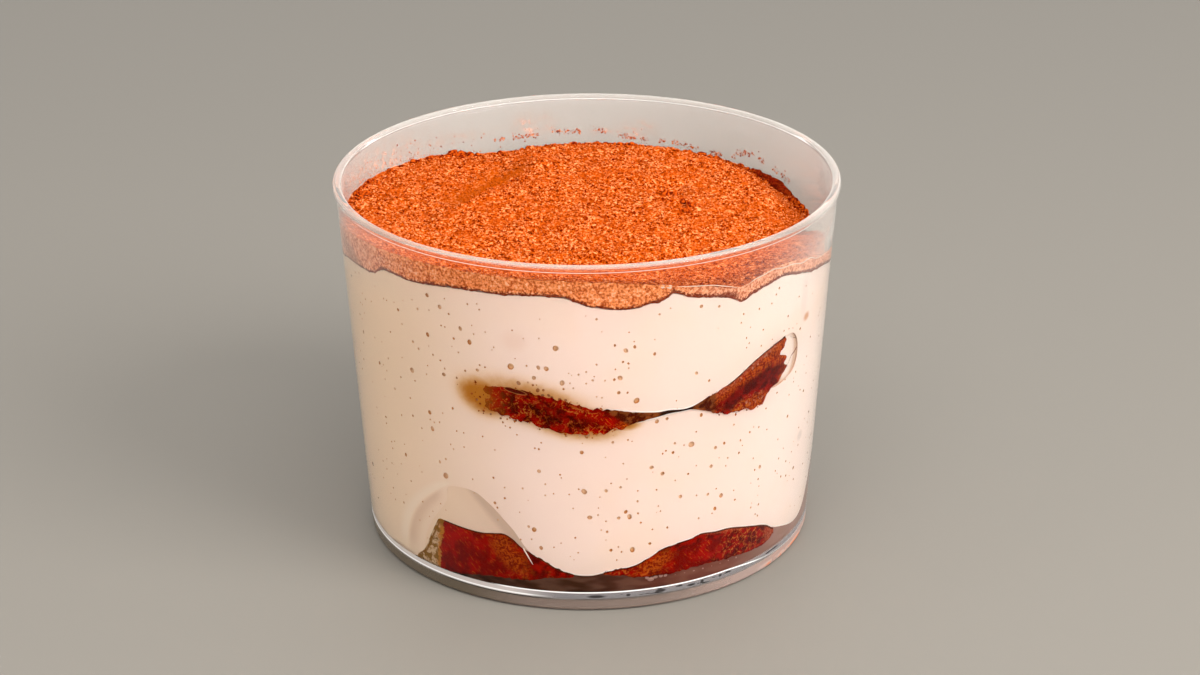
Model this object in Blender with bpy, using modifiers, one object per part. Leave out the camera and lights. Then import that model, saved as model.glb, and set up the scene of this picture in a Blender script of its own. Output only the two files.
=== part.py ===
"""Tiramisu in a clear plastic cup.

A straight-sided tumbler with a rolled rim and a recessed foot holds, from the bottom up: two soaked
ladyfingers lying side by side across the floor, a deep bed of mascarpone cream, two more ladyfingers
whose long sides press against the wall, more cream, and a loose uneven layer of cocoa on top.

Metres, +Z up. The cup stands on z = 0 with its axis on Z, and the side that faces the viewer is -Y.
Azimuths are in degrees, 0 at the front (-Y) and positive towards +X.
"""

import math
import random

import bmesh
import bpy
from mathutils import Matrix, Vector, noise

MM = 0.001
GAP = 0.3 * MM
SEGMENTS = 72

CUP_HEIGHT = 64.7 * MM
RIM_RADIUS = 44.0 * MM
BASE_RADIUS = 39.5 * MM
LIP_PROUD = 0.4 * MM
LIP_HEIGHT = 1.2 * MM
WALL = 1.1 * MM
FLOOR_TOP = 2.6 * MM
FLOOR_UNDER = 1.1 * MM
FLOOR_FILLET = 1.2 * MM
FOOT_ROUND = 0.8 * MM
FOOT_WIDTH = 2.6 * MM
RIM_ROUND = 0.55 * MM
FOOD_LOWEST = FLOOR_TOP + GAP

# Where the food meets the wall, as (azimuth, height in millimetres) stations right round the cup.
CREAM_FOOT = (
    (-180, 7.2), (-166, 9.8), (-150, 13.2), (-138, 12.4), (-127, 4.6), (-112, 2.9), (-60, 2.9),
    (-48, 4.6), (-40, 13.1), (-24, 13.8), (-12, 10.0), (-2, 7.0), (8, 7.0), (18, 10.3), (29, 12.1),
    (45, 10.0), (56, 7.4), (70, 4.8), (84, 7.5), (95, 11.0), (110, 8.4), (128, 9.4), (150, 12.0),
    (166, 9.6),
)
COCOA_FOOT = (
    (-180, 53.4), (-150, 53.4), (-125, 55.0), (-100, 54.8), (-83, 52.8), (-66, 54.8), (-52, 57.3),
    (-30, 58.3), (-9, 58.9), (1, 57.1), (9, 56.5), (19, 58.4), (28, 56.9), (37, 54.6), (47, 56.4),
    (60, 54.4), (83, 50.6), (105, 50.0), (130, 52.4), (157, 53.0),
)
COCOA_EDGE = (
    (-180, 55.4), (-156, 54.9), (-136, 57.0), (-103, 58.3), (-83, 57.0), (-66, 57.6), (-50, 59.3),
    (-30, 60.0), (-9, 60.2), (1, 59.4), (9, 59.1), (19, 60.1), (28, 58.8), (36, 57.3), (44, 58.6),
    (54, 58.3), (65, 55.9), (83, 53.4), (105, 52.0), (130, 54.5), (157, 55.1),
)

# The cream hangs clear of the floor's right-hand corner with a rounded edge.
HANGING_CORNER_AZIMUTH = 95
HANGING_CORNER_SPREAD = 15
HANGING_CORNER_DROP = 6.2 * MM
CREAM_OVER_BISCUITS = 7.0 * MM

# The upper ladyfingers lie across the cup at this turn, and sag between their two ends.
UPPER_TURN = 15.5
UPPER_MIDDLE = 36.9 * MM
UPPER_SAG = 4.4 * MM
UPPER_SAG_REACH = 24.0 * MM

# The cocoa's surface: its level, then its mounds and hollows as (x, y, reach, height) in millimetres.
COCOA_LEVEL = 58.7 * MM
COCOA_THICKNESS = 2.0 * MM
COCOA_BED_GAP = 0.45 * MM
COCOA_FORMS = (
    (4, -8, 17, 0.9), (-17, 14, 7.5, -1.5), (-9, 19, 6, 0.8), (15, 9, 3.5, -0.8), (13, 18, 5, 0.5),
    (7, -11, 5, -0.4), (-24, -14, 10, 0.5), (26, 16, 9, -1.1), (0, 31, 9, -0.9), (-22, 29, 9, -1.5),
)
COCOA_LUMP = 0.6 * MM
COCOA_LUMP_SIZE = 5.5 * MM
COCOA_GRID = 34


def clear_scene():
    for leftover in list(bpy.data.objects):
        bpy.data.objects.remove(leftover, do_unlink=True)


def collection(name, shown):
    made = bpy.data.collections.new(name)
    bpy.context.scene.collection.children.link(made)
    made.hide_render = not shown
    return made


def material(name, colour, roughness, metallic=0.0, transmission=0.0):
    made = bpy.data.materials.new(name)
    made.use_nodes = True
    shader = made.node_tree.nodes["Principled BSDF"]
    shader.inputs["Base Color"].default_value = (*colour, 1.0)
    shader.inputs["Roughness"].default_value = roughness
    shader.inputs["Metallic"].default_value = metallic
    shader.inputs["Transmission Weight"].default_value = transmission
    made.diffuse_color = (*colour, 1.0)
    return made


def add_object(name, mesh, group, finish=None):
    made = bpy.data.objects.new(name, mesh)
    group.objects.link(made)
    if finish:
        mesh.materials.append(finish)
        mesh.shade_smooth()
    else:
        made.hide_render = True
        made.display_type = "WIRE"
    return made


def arc(centre_x, centre_z, radius, start, end, steps):
    """Points on an arc, in degrees from +X, both ends included."""
    points = []
    for step in range(steps + 1):
        angle = math.radians(start + (end - start) * step / steps)
        points.append((centre_x + radius * math.cos(angle), centre_z + radius * math.sin(angle)))
    return points


def outer_radius(z):
    return BASE_RADIUS + (RIM_RADIUS - LIP_PROUD - BASE_RADIUS) * z / CUP_HEIGHT


def inner_radius(z):
    """The inside of the wall, with the fillet where it turns into the floor."""
    above_floor = min(z - FLOOR_TOP, FLOOR_FILLET)
    rise = max(FLOOR_FILLET - above_floor, 0.0)
    turned_in = FLOOR_FILLET - math.sqrt(max(FLOOR_FILLET**2 - rise**2, 0.0))
    return outer_radius(z) - WALL - turned_in


def cup_section():
    """Half of the cup's section: floor, inside, rim, outside, foot and recess."""
    lean = math.degrees(math.atan2(outer_radius(CUP_HEIGHT) - BASE_RADIUS, CUP_HEIGHT))
    fillet_top = FLOOR_TOP + FLOOR_FILLET
    section = [(0.0, FLOOR_TOP)]
    section += arc(inner_radius(fillet_top) - FLOOR_FILLET, fillet_top, FLOOR_FILLET, -90, -lean, 3)
    rim_shoulder = CUP_HEIGHT - RIM_ROUND
    section += arc(inner_radius(rim_shoulder) + RIM_ROUND, rim_shoulder, RIM_ROUND, 180, 90, 2)
    section += arc(RIM_RADIUS - RIM_ROUND, rim_shoulder, RIM_ROUND, 90, 0, 2)
    section.append((RIM_RADIUS, CUP_HEIGHT - LIP_HEIGHT))
    under_lip = CUP_HEIGHT - LIP_HEIGHT - LIP_PROUD
    section.append((outer_radius(under_lip), under_lip))
    section += arc(outer_radius(FOOT_ROUND) - FOOT_ROUND, FOOT_ROUND, FOOT_ROUND, 0, -90, 2)
    section.append((BASE_RADIUS - FOOT_WIDTH, 0.0))
    section.append((BASE_RADIUS - FOOT_WIDTH - FLOOR_UNDER / 2, FLOOR_UNDER))
    section.append((0.0, FLOOR_UNDER))
    return section


def turned(name, section, group, finish=None):
    """A section in the XZ plane, turned round Z."""
    mesh = bpy.data.meshes.new(name)
    points = [(x, 0.0, z) for x, z in section]
    mesh.from_pydata(points, [(i, i + 1) for i in range(len(points) - 1)], [])
    made = add_object(name, mesh, group, finish)
    screw = made.modifiers.new("turn", "SCREW")
    screw.steps = SEGMENTS
    screw.render_steps = SEGMENTS
    screw.use_merge_vertices = True
    screw.merge_threshold = 0.05 * MM
    return made


def smooth_step(value, low, high):
    share = min(max((value - low) / (high - low), 0.0), 1.0)
    return share * share * (3 - 2 * share)


def round_the_cup(stations, azimuth):
    """The height at an azimuth, on a smooth closed line through the stations."""
    count = len(stations)
    azimuth = (azimuth + 180) % 360 - 180
    after = next((i for i, station in enumerate(stations) if station[0] > azimuth), count)

    def station(index):
        turns, place = divmod(index, count)
        return stations[place][0] + 360 * turns, stations[place][1]

    (a0, h0), (a1, h1), (a2, h2), (a3, h3) = (station(after + step) for step in (-2, -1, 0, 1))
    share = (azimuth - a1) / (a2 - a1)
    slope1 = (h2 - h0) / (a2 - a0) * (a2 - a1)
    slope2 = (h3 - h1) / (a3 - a1) * (a2 - a1)
    square, cube = share**2, share**3
    height = (2 * cube - 3 * square + 1) * h1 + (3 * square - 2 * cube) * h2
    height += (cube - 2 * square + share) * slope1 + (cube - square) * slope2
    return height * MM


def azimuth_of(x, y):
    return math.degrees(math.atan2(x, -y))


def upper_seam(x, y):
    """The level that the upper ladyfingers' middles follow, and where the two beds of cream meet."""
    turn = math.radians(UPPER_TURN)
    along = x * math.cos(turn) + y * math.sin(turn)
    return UPPER_MIDDLE + UPPER_SAG * (1 - math.exp(-((along / UPPER_SAG_REACH) ** 2)))


def cream_underside(x, y):
    """The lower cream's underside: on the floor at the left, over the ladyfingers, hanging elsewhere."""
    azimuth = azimuth_of(x, y)
    share = math.hypot(x, y) / inner_radius(FLOOR_TOP + FLOOR_FILLET)
    at_wall = max(round_the_cup(CREAM_FOOT, azimuth), FOOD_LOWEST)
    corner = HANGING_CORNER_DROP * math.exp(
        -(((azimuth - HANGING_CORNER_AZIMUTH) / HANGING_CORNER_SPREAD) ** 2)
    )
    rounding = 1 - math.sqrt(1 - smooth_step(share, 0.84, 1.0) ** 2)
    outside = at_wall - corner * (1 - rounding)
    inside = smooth_step(share, 0.5, 0.78)
    return max(CREAM_OVER_BISCUITS + (outside - CREAM_OVER_BISCUITS) * inside, FOOD_LOWEST)


def cocoa_surface(x, y):
    """The top of the cocoa: gentle mounds and hollows, drawn to its edge line at the wall."""
    height = COCOA_LEVEL
    for at_x, at_y, reach, rise in COCOA_FORMS:
        away = math.hypot(x / MM - at_x, y / MM - at_y) / reach
        height += rise * MM * math.exp(-away * away)
    lumps = noise.fractal(Vector((x, y, 0.0)) / COCOA_LUMP_SIZE, 0.8, 2.1, 3)
    share = math.hypot(x, y) / inner_radius(COCOA_LEVEL)
    edge = round_the_cup(COCOA_EDGE, azimuth_of(x, y))
    at_wall = smooth_step(share, 0.74, 0.99)
    return height + (edge - height) * at_wall + COCOA_LUMP * lumps * (1 - at_wall)


def cocoa_underside(x, y):
    share = math.hypot(x, y) / inner_radius(COCOA_LEVEL)
    at_wall = smooth_step(share, 0.8, 1.0)
    inside = cocoa_surface(x, y) - COCOA_THICKNESS
    return inside + (round_the_cup(COCOA_FOOT, azimuth_of(x, y)) - inside) * at_wall


def layer(name, under, under_rings, over, over_rings, wall_bands, group, finish):
    """A bed of food that fills the cup from one surface to another.

    A flat drum of unit radius and unit height is spun first. Its radius and height then say where
    each point belongs: on the underside, on the top, or on the wall between their edges.
    """
    drum = bmesh.new()
    section = [(share, 0.0) for share in under_rings]
    section += [(1.0, band / wall_bands) for band in range(1, wall_bands)]
    section += [(share, 1.0) for share in reversed(over_rings)]
    points = [drum.verts.new((x, 0.0, z)) for x, z in section]
    edges = [drum.edges.new(pair) for pair in zip(points, points[1:])]
    bmesh.ops.spin(
        drum,
        geom=points + edges,
        cent=(0, 0, 0),
        axis=(0, 0, 1),
        angle=math.tau,
        steps=SEGMENTS,
        use_merge=True,
    )
    bmesh.ops.remove_doubles(drum, verts=drum.verts, dist=1e-5)
    for point in drum.verts:
        share = math.hypot(point.co.x, point.co.y)
        turn = Vector((point.co.x, point.co.y, 0.0)).normalized() if share else Vector((1, 0, 0))
        level = point.co.z
        rim = inner_radius(UPPER_MIDDLE) * turn
        low = under(rim.x, rim.y)
        high = over(rim.x, rim.y)
        height = low + (high - low) * level
        place = turn * share * (inner_radius(height) - GAP)
        if level < 1e-4:
            place.z = under(place.x, place.y) if share < 0.999 else low
        elif level > 1 - 1e-4:
            place.z = over(place.x, place.y) if share < 0.999 else high
        else:
            place.z = height
        point.co = place
    bmesh.ops.recalc_face_normals(drum, faces=drum.faces)
    mesh = bpy.data.meshes.new(name)
    drum.to_mesh(mesh)
    drum.free()
    return add_object(name, mesh, group, finish)


def cocoa_block(name, group, finish):
    """A block with the cocoa's lumpy top, wider than the cup, to be cut by what is round and under it."""
    block = bmesh.new()
    bmesh.ops.create_grid(block, x_segments=COCOA_GRID, y_segments=COCOA_GRID, size=RIM_RADIUS)
    top_faces = list(block.faces)
    border = [edge for edge in block.edges if edge.is_boundary]
    for point in block.verts:
        point.co.z = cocoa_surface(point.co.x, point.co.y)
    sides = bmesh.ops.extrude_edge_only(block, edges=border)["geom"]
    for point in (item for item in sides if isinstance(item, bmesh.types.BMVert)):
        point.co.z = UPPER_MIDDLE
    bmesh.ops.holes_fill(block, edges=[edge for edge in block.edges if edge.is_boundary])
    bmesh.ops.triangulate(block, faces=top_faces)
    bmesh.ops.recalc_face_normals(block, faces=block.faces)
    mesh = bpy.data.meshes.new(name)
    block.to_mesh(mesh)
    block.free()
    return add_object(name, mesh, group, finish)


# Rows of a ladyfinger's cage from its left end to its right end: place, width and height as shares.
ROUND_BOTH_ENDS = (
    (-1.0, 0.50, 0.55), (-0.84, 0.86, 0.88), (-0.45, 1.0, 1.0), (0.0, 1.02, 0.98),
    (0.45, 1.0, 1.0), (0.84, 0.84, 0.86), (1.0, 0.46, 0.50),
)
LEFT_END_CUT = (
    (-1.0, 0.84, 0.94), (-0.90, 0.95, 1.0), (-0.50, 1.02, 1.03), (0.0, 1.03, 0.97),
    (0.40, 0.99, 0.97), (0.80, 0.80, 0.84), (1.0, 0.40, 0.50),
)


def ladyfinger_mesh(name, size, rows, rise, tilt, seed):
    """A soaked sponge finger along X: flat underneath, domed above, its ends round or cut.

    size is its finished length, width and thickness. rise lifts both ends, and tilt the right one.
    """
    cage = bmesh.new()
    bmesh.ops.create_cube(cage, size=2.0)
    for axis, cuts in ((0, len(rows) - 2), (1, 2), (2, 1)):
        run = [edge for edge in cage.edges if abs((edge.verts[0].co - edge.verts[1].co)[axis]) > 0.1]
        bmesh.ops.subdivide_edges(cage, edges=run, cuts=cuts, use_grid_fill=True)
    draw = random.Random(seed)
    uneven = 0.035
    for point in cage.verts:
        place, width, height = rows[round((point.co.x + 1) / 2 * (len(rows) - 1))]
        side, level = point.co.y, point.co.z
        spread = {-1: 0.90, 0: 1.0, 1: 0.86}[round(level)]
        dome = 1.0 if abs(side) < 0.5 else 0.74
        top = {-1: 0.0, 0: 0.46, 1: dome}[round(level)]
        point.co.x = place + draw.uniform(-uneven, uneven) * 0.5
        point.co.y = side * spread * width + draw.uniform(-uneven, uneven)
        point.co.z = top * height + (draw.uniform(-uneven, uneven) if level > -0.5 else 0.0)
    mesh = bpy.data.meshes.new(name)
    cage.to_mesh(mesh)
    cage.free()
    probe = bpy.data.objects.new("probe", mesh)
    bpy.context.scene.collection.objects.link(probe)
    soften(probe)
    bpy.context.view_layer.update()
    evaluated = probe.evaluated_get(bpy.context.evaluated_depsgraph_get())
    corners = [Vector(corner) for corner in evaluated.bound_box]
    low = Vector(min(corner[axis] for corner in corners) for axis in range(3))
    high = Vector(max(corner[axis] for corner in corners) for axis in range(3))
    bpy.data.objects.remove(probe, do_unlink=True)
    finished = Matrix.Diagonal([size[axis] / (high[axis] - low[axis]) for axis in range(3)])
    for point in mesh.vertices:
        place = finished @ (point.co - Vector(((low.x + high.x) / 2, (low.y + high.y) / 2, low.z)))
        along = place.x / (size[0] / 2)
        place.z += rise * along * along + tilt * along
        point.co = place
    return mesh


def soften(made):
    subdivision = made.modifiers.new("soften", "SUBSURF")
    subdivision.levels = 1
    subdivision.render_levels = 1


def boolean(made, operation, other):
    cut = made.modifiers.new(operation.lower() + " " + other.name, "BOOLEAN")
    cut.operation = operation
    cut.object = other
    cut.solver = "EXACT"


def ladyfinger(name, mesh, centre, turn, group, finish, cutters, cup_space):
    """The finger in its place, trimmed to the wall, and the slightly larger space that it takes."""
    made = add_object(name, mesh, group, finish)
    space = add_object(name + "_space", mesh.copy(), cutters)
    space.data.materials.clear()
    for each in (made, space):
        each.location = centre
        each.rotation_euler = (0.0, 0.0, math.radians(turn))
        soften(each)
    swell = space.modifiers.new("clearance", "DISPLACE")
    swell.strength = GAP
    swell.mid_level = 0.0
    boolean(made, "INTERSECT", cup_space)
    return space


def build():
    clear_scene()
    parts = collection("tiramisu_cup", True)
    cutters = collection("cutters", False)

    clear_plastic = material("clear_plastic", (0.93, 0.93, 0.92), 0.08, transmission=1.0)
    soaked_sponge = material("soaked_sponge", (0.24, 0.045, 0.012), 0.45)
    cream = material("mascarpone_cream", (0.90, 0.76, 0.62), 0.42)
    cocoa_powder = material("cocoa_powder", (0.62, 0.16, 0.035), 0.95)

    turned("cup", cup_section(), parts, clear_plastic)

    cup_space = turned(
        "cup_space",
        [
            (0.0, CUP_HEIGHT),
            (inner_radius(CUP_HEIGHT) - GAP, CUP_HEIGHT),
            (inner_radius(FLOOR_TOP + FLOOR_FILLET) - GAP, FLOOR_TOP + FLOOR_FILLET),
            (inner_radius(FOOD_LOWEST) - GAP, FOOD_LOWEST),
            (0.0, FOOD_LOWEST),
        ],
        cutters,
    )

    lower_size = (60.5 * MM, 28.5 * MM, 11.0 * MM)
    lower_spaces = []
    for name, centre, turn, rows, seed in (
        ("ladyfinger_bottom_front", (1.6 * MM, -16.8 * MM, FOOD_LOWEST), 1.5, LEFT_END_CUT, 11),
        ("ladyfinger_bottom_back", (-1.0 * MM, 15.6 * MM, FOOD_LOWEST), 183.0, LEFT_END_CUT, 12),
    ):
        mesh = ladyfinger_mesh(name, lower_size, rows, 0.0, 0.0, seed)
        lower_spaces.append(
            ladyfinger(name, mesh, centre, turn, parts, soaked_sponge, cutters, cup_space)
        )

    upper_size = (58.0 * MM, 28.0 * MM, 8.0 * MM)
    upper_reach = 39.5 * MM - upper_size[1] / 2
    upper_spaces = []
    for name, turn, seed in (
        ("ladyfinger_middle_front", UPPER_TURN, 21),
        ("ladyfinger_middle_back", UPPER_TURN + 176.0, 22),
    ):
        mesh = ladyfinger_mesh(name, upper_size, ROUND_BOTH_ENDS, 3.6 * MM, 0.9 * MM, seed)
        out = Vector((math.sin(math.radians(turn)), -math.cos(math.radians(turn)), 0.0))
        centre = out * upper_reach + Vector((0.0, 0.0, UPPER_MIDDLE - 0.47 * upper_size[2]))
        upper_spaces.append(
            ladyfinger(name, mesh, centre, turn, parts, soaked_sponge, cutters, cup_space)
        )

    foot_rings = (0.0, 0.3, 0.5, 0.62, 0.72, 0.8, 0.87, 0.93, 0.975, 1.0)
    seam_rings = (0.0, 0.25, 0.5, 0.75, 1.0)
    cocoa_bed_rings = (0.0, 0.25, 0.45, 0.62, 0.76, 0.88, 1.0)
    lower_cream = layer(
        "cream_lower",
        cream_underside,
        foot_rings,
        lambda x, y: upper_seam(x, y) - GAP / 2,
        seam_rings,
        3,
        parts,
        cream,
    )
    upper_cream = layer(
        "cream_upper",
        lambda x, y: upper_seam(x, y) + GAP / 2,
        seam_rings,
        lambda x, y: cocoa_underside(x, y) - COCOA_BED_GAP,
        cocoa_bed_rings,
        2,
        parts,
        cream,
    )
    for space in lower_spaces + upper_spaces:
        boolean(lower_cream, "DIFFERENCE", space)
    for space in upper_spaces:
        boolean(upper_cream, "DIFFERENCE", space)

    cocoa = cocoa_block("cocoa", parts, cocoa_powder)
    cocoa_bed = layer(
        "cocoa_bed",
        lambda x, y: UPPER_MIDDLE - GAP,
        (0.0, 1.0, 1.2),
        cocoa_underside,
        (*cocoa_bed_rings, 1.2),
        1,
        cutters,
        None,
    )
    boolean(cocoa, "DIFFERENCE", cocoa_bed)
    boolean(cocoa, "INTERSECT", cup_space)


build()
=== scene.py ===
"""The looks of a portion of tiramisu in a clear plastic cup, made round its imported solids.

Shapes are worked out in millimetres and made metres when a piece is finished. Azimuths are in degrees,
0 at the front (-Y) and positive towards +X. The cup stands on z = 0 with its axis on Z.
"""

import random
from math import asin, atan2, cos, degrees, exp, hypot, radians, sin, sqrt, tau

import bmesh
import bpy
from mathutils import Matrix, Vector, noise


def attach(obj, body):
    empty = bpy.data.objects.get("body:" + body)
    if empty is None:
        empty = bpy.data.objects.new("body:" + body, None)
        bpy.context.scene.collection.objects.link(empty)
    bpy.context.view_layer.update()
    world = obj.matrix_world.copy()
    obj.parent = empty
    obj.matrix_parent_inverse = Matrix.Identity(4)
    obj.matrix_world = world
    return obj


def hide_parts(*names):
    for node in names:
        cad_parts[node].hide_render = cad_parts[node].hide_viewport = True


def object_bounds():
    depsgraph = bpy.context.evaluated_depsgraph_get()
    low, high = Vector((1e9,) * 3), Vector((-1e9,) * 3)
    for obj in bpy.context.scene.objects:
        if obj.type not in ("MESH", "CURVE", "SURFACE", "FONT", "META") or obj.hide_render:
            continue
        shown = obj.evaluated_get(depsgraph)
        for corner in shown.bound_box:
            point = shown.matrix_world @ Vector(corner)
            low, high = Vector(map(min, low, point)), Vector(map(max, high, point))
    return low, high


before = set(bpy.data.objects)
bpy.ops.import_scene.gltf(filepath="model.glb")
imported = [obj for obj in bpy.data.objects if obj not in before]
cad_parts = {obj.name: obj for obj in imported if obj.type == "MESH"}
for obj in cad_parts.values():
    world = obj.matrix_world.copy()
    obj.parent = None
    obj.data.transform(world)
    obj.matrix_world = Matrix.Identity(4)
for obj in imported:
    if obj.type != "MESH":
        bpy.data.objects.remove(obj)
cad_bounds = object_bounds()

scene = bpy.context.scene
MM = 0.001
# The seed fixes what noise_vector gives, which would change from run to run without it.
noise.seed_set(1)


# The table: a plain matt top in a pale stone grey, seen from a little above the cup's rim through a
# long lens, so the cup's sides hardly converge. Soft light comes from the right and a little from the
# front, and its broad shadow falls to the left.

class Value:
    """A number or a colour that varies over a surface. Sums on it add their Math nodes."""

    def __init__(self, finish, socket):
        self.finish = finish
        self.socket = socket

    def __add__(self, other):
        return self.finish.sum("ADD", self, other)

    def __sub__(self, other):
        return self.finish.sum("SUBTRACT", self, other)

    def __rsub__(self, other):
        return self.finish.sum("SUBTRACT", other, self)

    def __mul__(self, other):
        return self.finish.sum("MULTIPLY", self, other)

    def __or__(self, other):
        return self.finish.sum("MAXIMUM", self, other)

    def __and__(self, other):
        return self.finish.sum("MINIMUM", self, other)

    def __abs__(self):
        return self.finish.sum("ABSOLUTE", self)

    __radd__ = __add__
    __rmul__ = __mul__

    def step(self, low, high):
        """0 at low and 1 at high, with a smooth change between them, whichever is the larger."""
        settings = {"interpolation_type": "SMOOTHSTEP"}
        return self.finish.node("MapRange", settings, {0: self, 1: low, 2: high, 3: 0, 4: 1})


class Finish:
    """A material, whose nodes are added one call at a time.

    x, y, z and radius are in millimetres, and azimuth is in degrees. colour is the colour so far.
    """

    def __init__(self, name, roughness, specular=0.5, colour=(0.8, 0.8, 0.8)):
        self.material = bpy.data.materials.new(name)
        self.material.use_nodes = True
        self.tree = self.material.node_tree
        self.shader = self.tree.nodes["Principled BSDF"]
        self.set("Base Color", colour)
        self.set("Roughness", roughness)
        self.set("Specular IOR Level", specular)
        self.colour = colour

    def node(self, kind, settings=None, inputs=None, output=0):
        made = self.tree.nodes.new("ShaderNode" + kind)
        for name, value in (settings or {}).items():
            setattr(made, name, value)
        for key, value in (inputs or {}).items():
            self.fill(made.inputs[key], value)
        return Value(self, made.outputs[output])

    def fill(self, socket, value):
        if isinstance(value, Value):
            self.tree.links.new(value.socket, socket)
        elif isinstance(value, tuple) and len(value) == 3 and len(socket.default_value) == 4:
            socket.default_value = (*value, 1)
        else:
            socket.default_value = value

    def set(self, socket, value):
        self.fill(self.shader.inputs[socket], value)

    def sum(self, operation, first, second=0):
        return self.node("Math", {"operation": operation}, {0: first, 1: second})

    def blend(self, share, first, second):
        """The first colour where share is 0 and the second where it is 1."""
        return self.node("Mix", {"data_type": "RGBA"}, {0: share, 6: first, 7: second}, output=2)

    def paint(self, share, colour):
        """Lays a colour over the colour so far, fully where share is 1."""
        self.colour = self.blend(share, self.colour, colour)

    def measured(self, name):
        """A number kept on each of the mesh's points."""
        return self.node("Attribute", {"attribute_name": name}, output="Fac")

    def locate(self):
        """Makes the place on the object known."""
        coordinates = self.node("TexCoord", output="Object")
        self.place = self.node("VectorMath", {"operation": "SCALE"}, {0: coordinates, "Scale": 1 / MM})
        split = self.node("SeparateXYZ", inputs={0: self.place}).socket.node
        self.x, self.y, self.z = (Value(self, socket) for socket in split.outputs)
        self.azimuth = self.sum("ARCTAN2", self.x, self.y * -1) * degrees(1)
        self.radius = self.sum("SQRT", self.x * self.x + self.y * self.y)
        return self

    def grain(self, size, detail=2, roughness=0.5):
        """Noise from 0 to 1 whose forms are about size millimetres across."""
        sockets = {"Vector": self.place, "Scale": 1 / size, "Detail": detail, "Roughness": roughness}
        return self.node("TexNoise", inputs=sockets)

    def crumb(self, size):
        """The distance from the borders of uneven cells about size millimetres across."""
        wander = self.node("TexNoise", inputs={"Vector": self.place, "Scale": 1 / size}, output="Color")
        sockets = {0: wander, 1: (1.6 * size,) * 3, 2: self.place}
        vector = self.node("VectorMath", {"operation": "MULTIPLY_ADD"}, sockets)
        sockets = {"Vector": vector, "Scale": 1 / size}
        return self.node("TexVoronoi", {"feature": "DISTANCE_TO_EDGE"}, sockets)

    def tilted(self, across, up, tilt):
        """Two lengths along the wall, as they measure on axes that are tilted by so many degrees."""
        turn = radians(tilt)
        return across * cos(turn) + up * sin(turn), up * cos(turn) - across * sin(turn)

    def streaks(self, long, thin, tilt=0):
        """Noise drawn out along the wall in forms long by thin millimetres, tilted in degrees."""
        along, athwart = self.tilted(self.azimuth * WALL_DEGREE, self.z, tilt)
        vector = self.node("CombineXYZ", inputs={0: along * (1 / long), 1: athwart * (1 / thin)})
        return self.node("TexNoise", inputs={"Vector": vector, "Scale": 1, "Detail": 1})

    def bump(self, height):
        """Fine relief, from a height in millimetres."""
        self.set("Normal", self.node("Bump", inputs={"Strength": 1, "Distance": MM, "Height": height}))

    def spot(self, azimuth, height, wide, tall, soft=0.5, tilt=0, ragged=None):
        """A soft oval on the wall, given by its middle and its half sizes in millimetres."""
        across, up = (self.azimuth - azimuth) * WALL_DEGREE, self.z - height
        if tilt:
            across, up = self.tilted(across, up, tilt)
        across, up = across * (1 / wide), up * (1 / tall)
        away = self.sum("SQRT", across * across + up * up)
        if ragged:
            away = away + ragged
        return away.step(1 + soft, 1 - soft)

    def spots(self, *ovals, uneven=None):
        """Ovals taken together. Each is its strength, and then what spot takes.

        A raggedness at its end says how far the uneven value pushes its edge in and out.
        """
        together = None
        for strength, *oval in ovals:
            if len(oval) > 6:
                oval[6] = (uneven - 0.5) * oval[6]
            each = self.spot(*oval)
            if strength != 1:
                each = each * strength
            together = together | each if together else each
        return together


# The length on the wall of one degree of azimuth, where the wall is 40 mm from the axis.
WALL_DEGREE = radians(40)


TABLE_SIZE = 4000
stone = Finish("pale_stone", 0.62, colour=(0.15, 0.138, 0.12))
table_shape = bmesh.new()
bmesh.ops.create_grid(table_shape, x_segments=1, y_segments=1, size=TABLE_SIZE / 2 * MM)
table_mesh = bpy.data.meshes.new("table")
table_shape.to_mesh(table_mesh)
table_shape.free()
table_mesh.materials.append(stone.material)
table = bpy.data.objects.new("table", table_mesh)
scene.collection.objects.link(table)

CAMERA_ELEVATION = radians(23.504)
CAMERA_ROLL = radians(-0.315)
CAMERA_AWAY = 480.97
looked_at = Vector((2.139, 0, 33.475)) * MM
back = Vector((0, -cos(CAMERA_ELEVATION), sin(CAMERA_ELEVATION)))
level = Vector((1, 0, 0))
upright = back.cross(level)
right = cos(CAMERA_ROLL) * level + sin(CAMERA_ROLL) * upright
above = cos(CAMERA_ROLL) * upright - sin(CAMERA_ROLL) * level
camera_data = bpy.data.cameras.new("camera")
camera_data.sensor_width = 36
camera_data.lens = 81
camera = bpy.data.objects.new("camera", camera_data)
scene.collection.objects.link(camera)
turned = Matrix((right, above, back)).transposed().to_4x4()
camera.matrix_world = Matrix.Translation(looked_at + CAMERA_AWAY * MM * back) @ turned
scene.camera = camera
scene.view_settings.view_transform = "Standard"

world = bpy.data.worlds.new("soft_room")
world.use_nodes = True
world.node_tree.nodes["Background"].inputs["Color"].default_value = (1, 0.985, 0.955, 1)
world.node_tree.nodes["Background"].inputs["Strength"].default_value = 1.18
scene.world = world

for lamp_name, azimuth, elevation, away, size, power, colour in (
    ("key_light", 56, 36, 0.95, 0.55, 12.5, (1, 0.975, 0.94)),
    ("front_light", 2, 58, 0.46, 0.4, 1.9, (1, 0.97, 0.94)),
    ("left_light", -72, 7, 0.9, 0.5, 2.7, (1, 0.96, 0.92)),
):
    lamp_data = bpy.data.lights.new(lamp_name, "AREA")
    lamp_data.shape = "DISK"
    lamp_data.size = size
    lamp_data.energy = power
    lamp_data.color = colour
    lamp = bpy.data.objects.new(lamp_name, lamp_data)
    scene.collection.objects.link(lamp)
    turn, rise = radians(azimuth), radians(elevation)
    toward = Vector((sin(turn) * cos(rise), -cos(turn) * cos(rise), sin(rise)))
    lamp.location = away * toward + Vector((0, 0, 0.03))
    lamp.rotation_euler = toward.to_track_quat("Z", "Y").to_euler()


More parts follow.
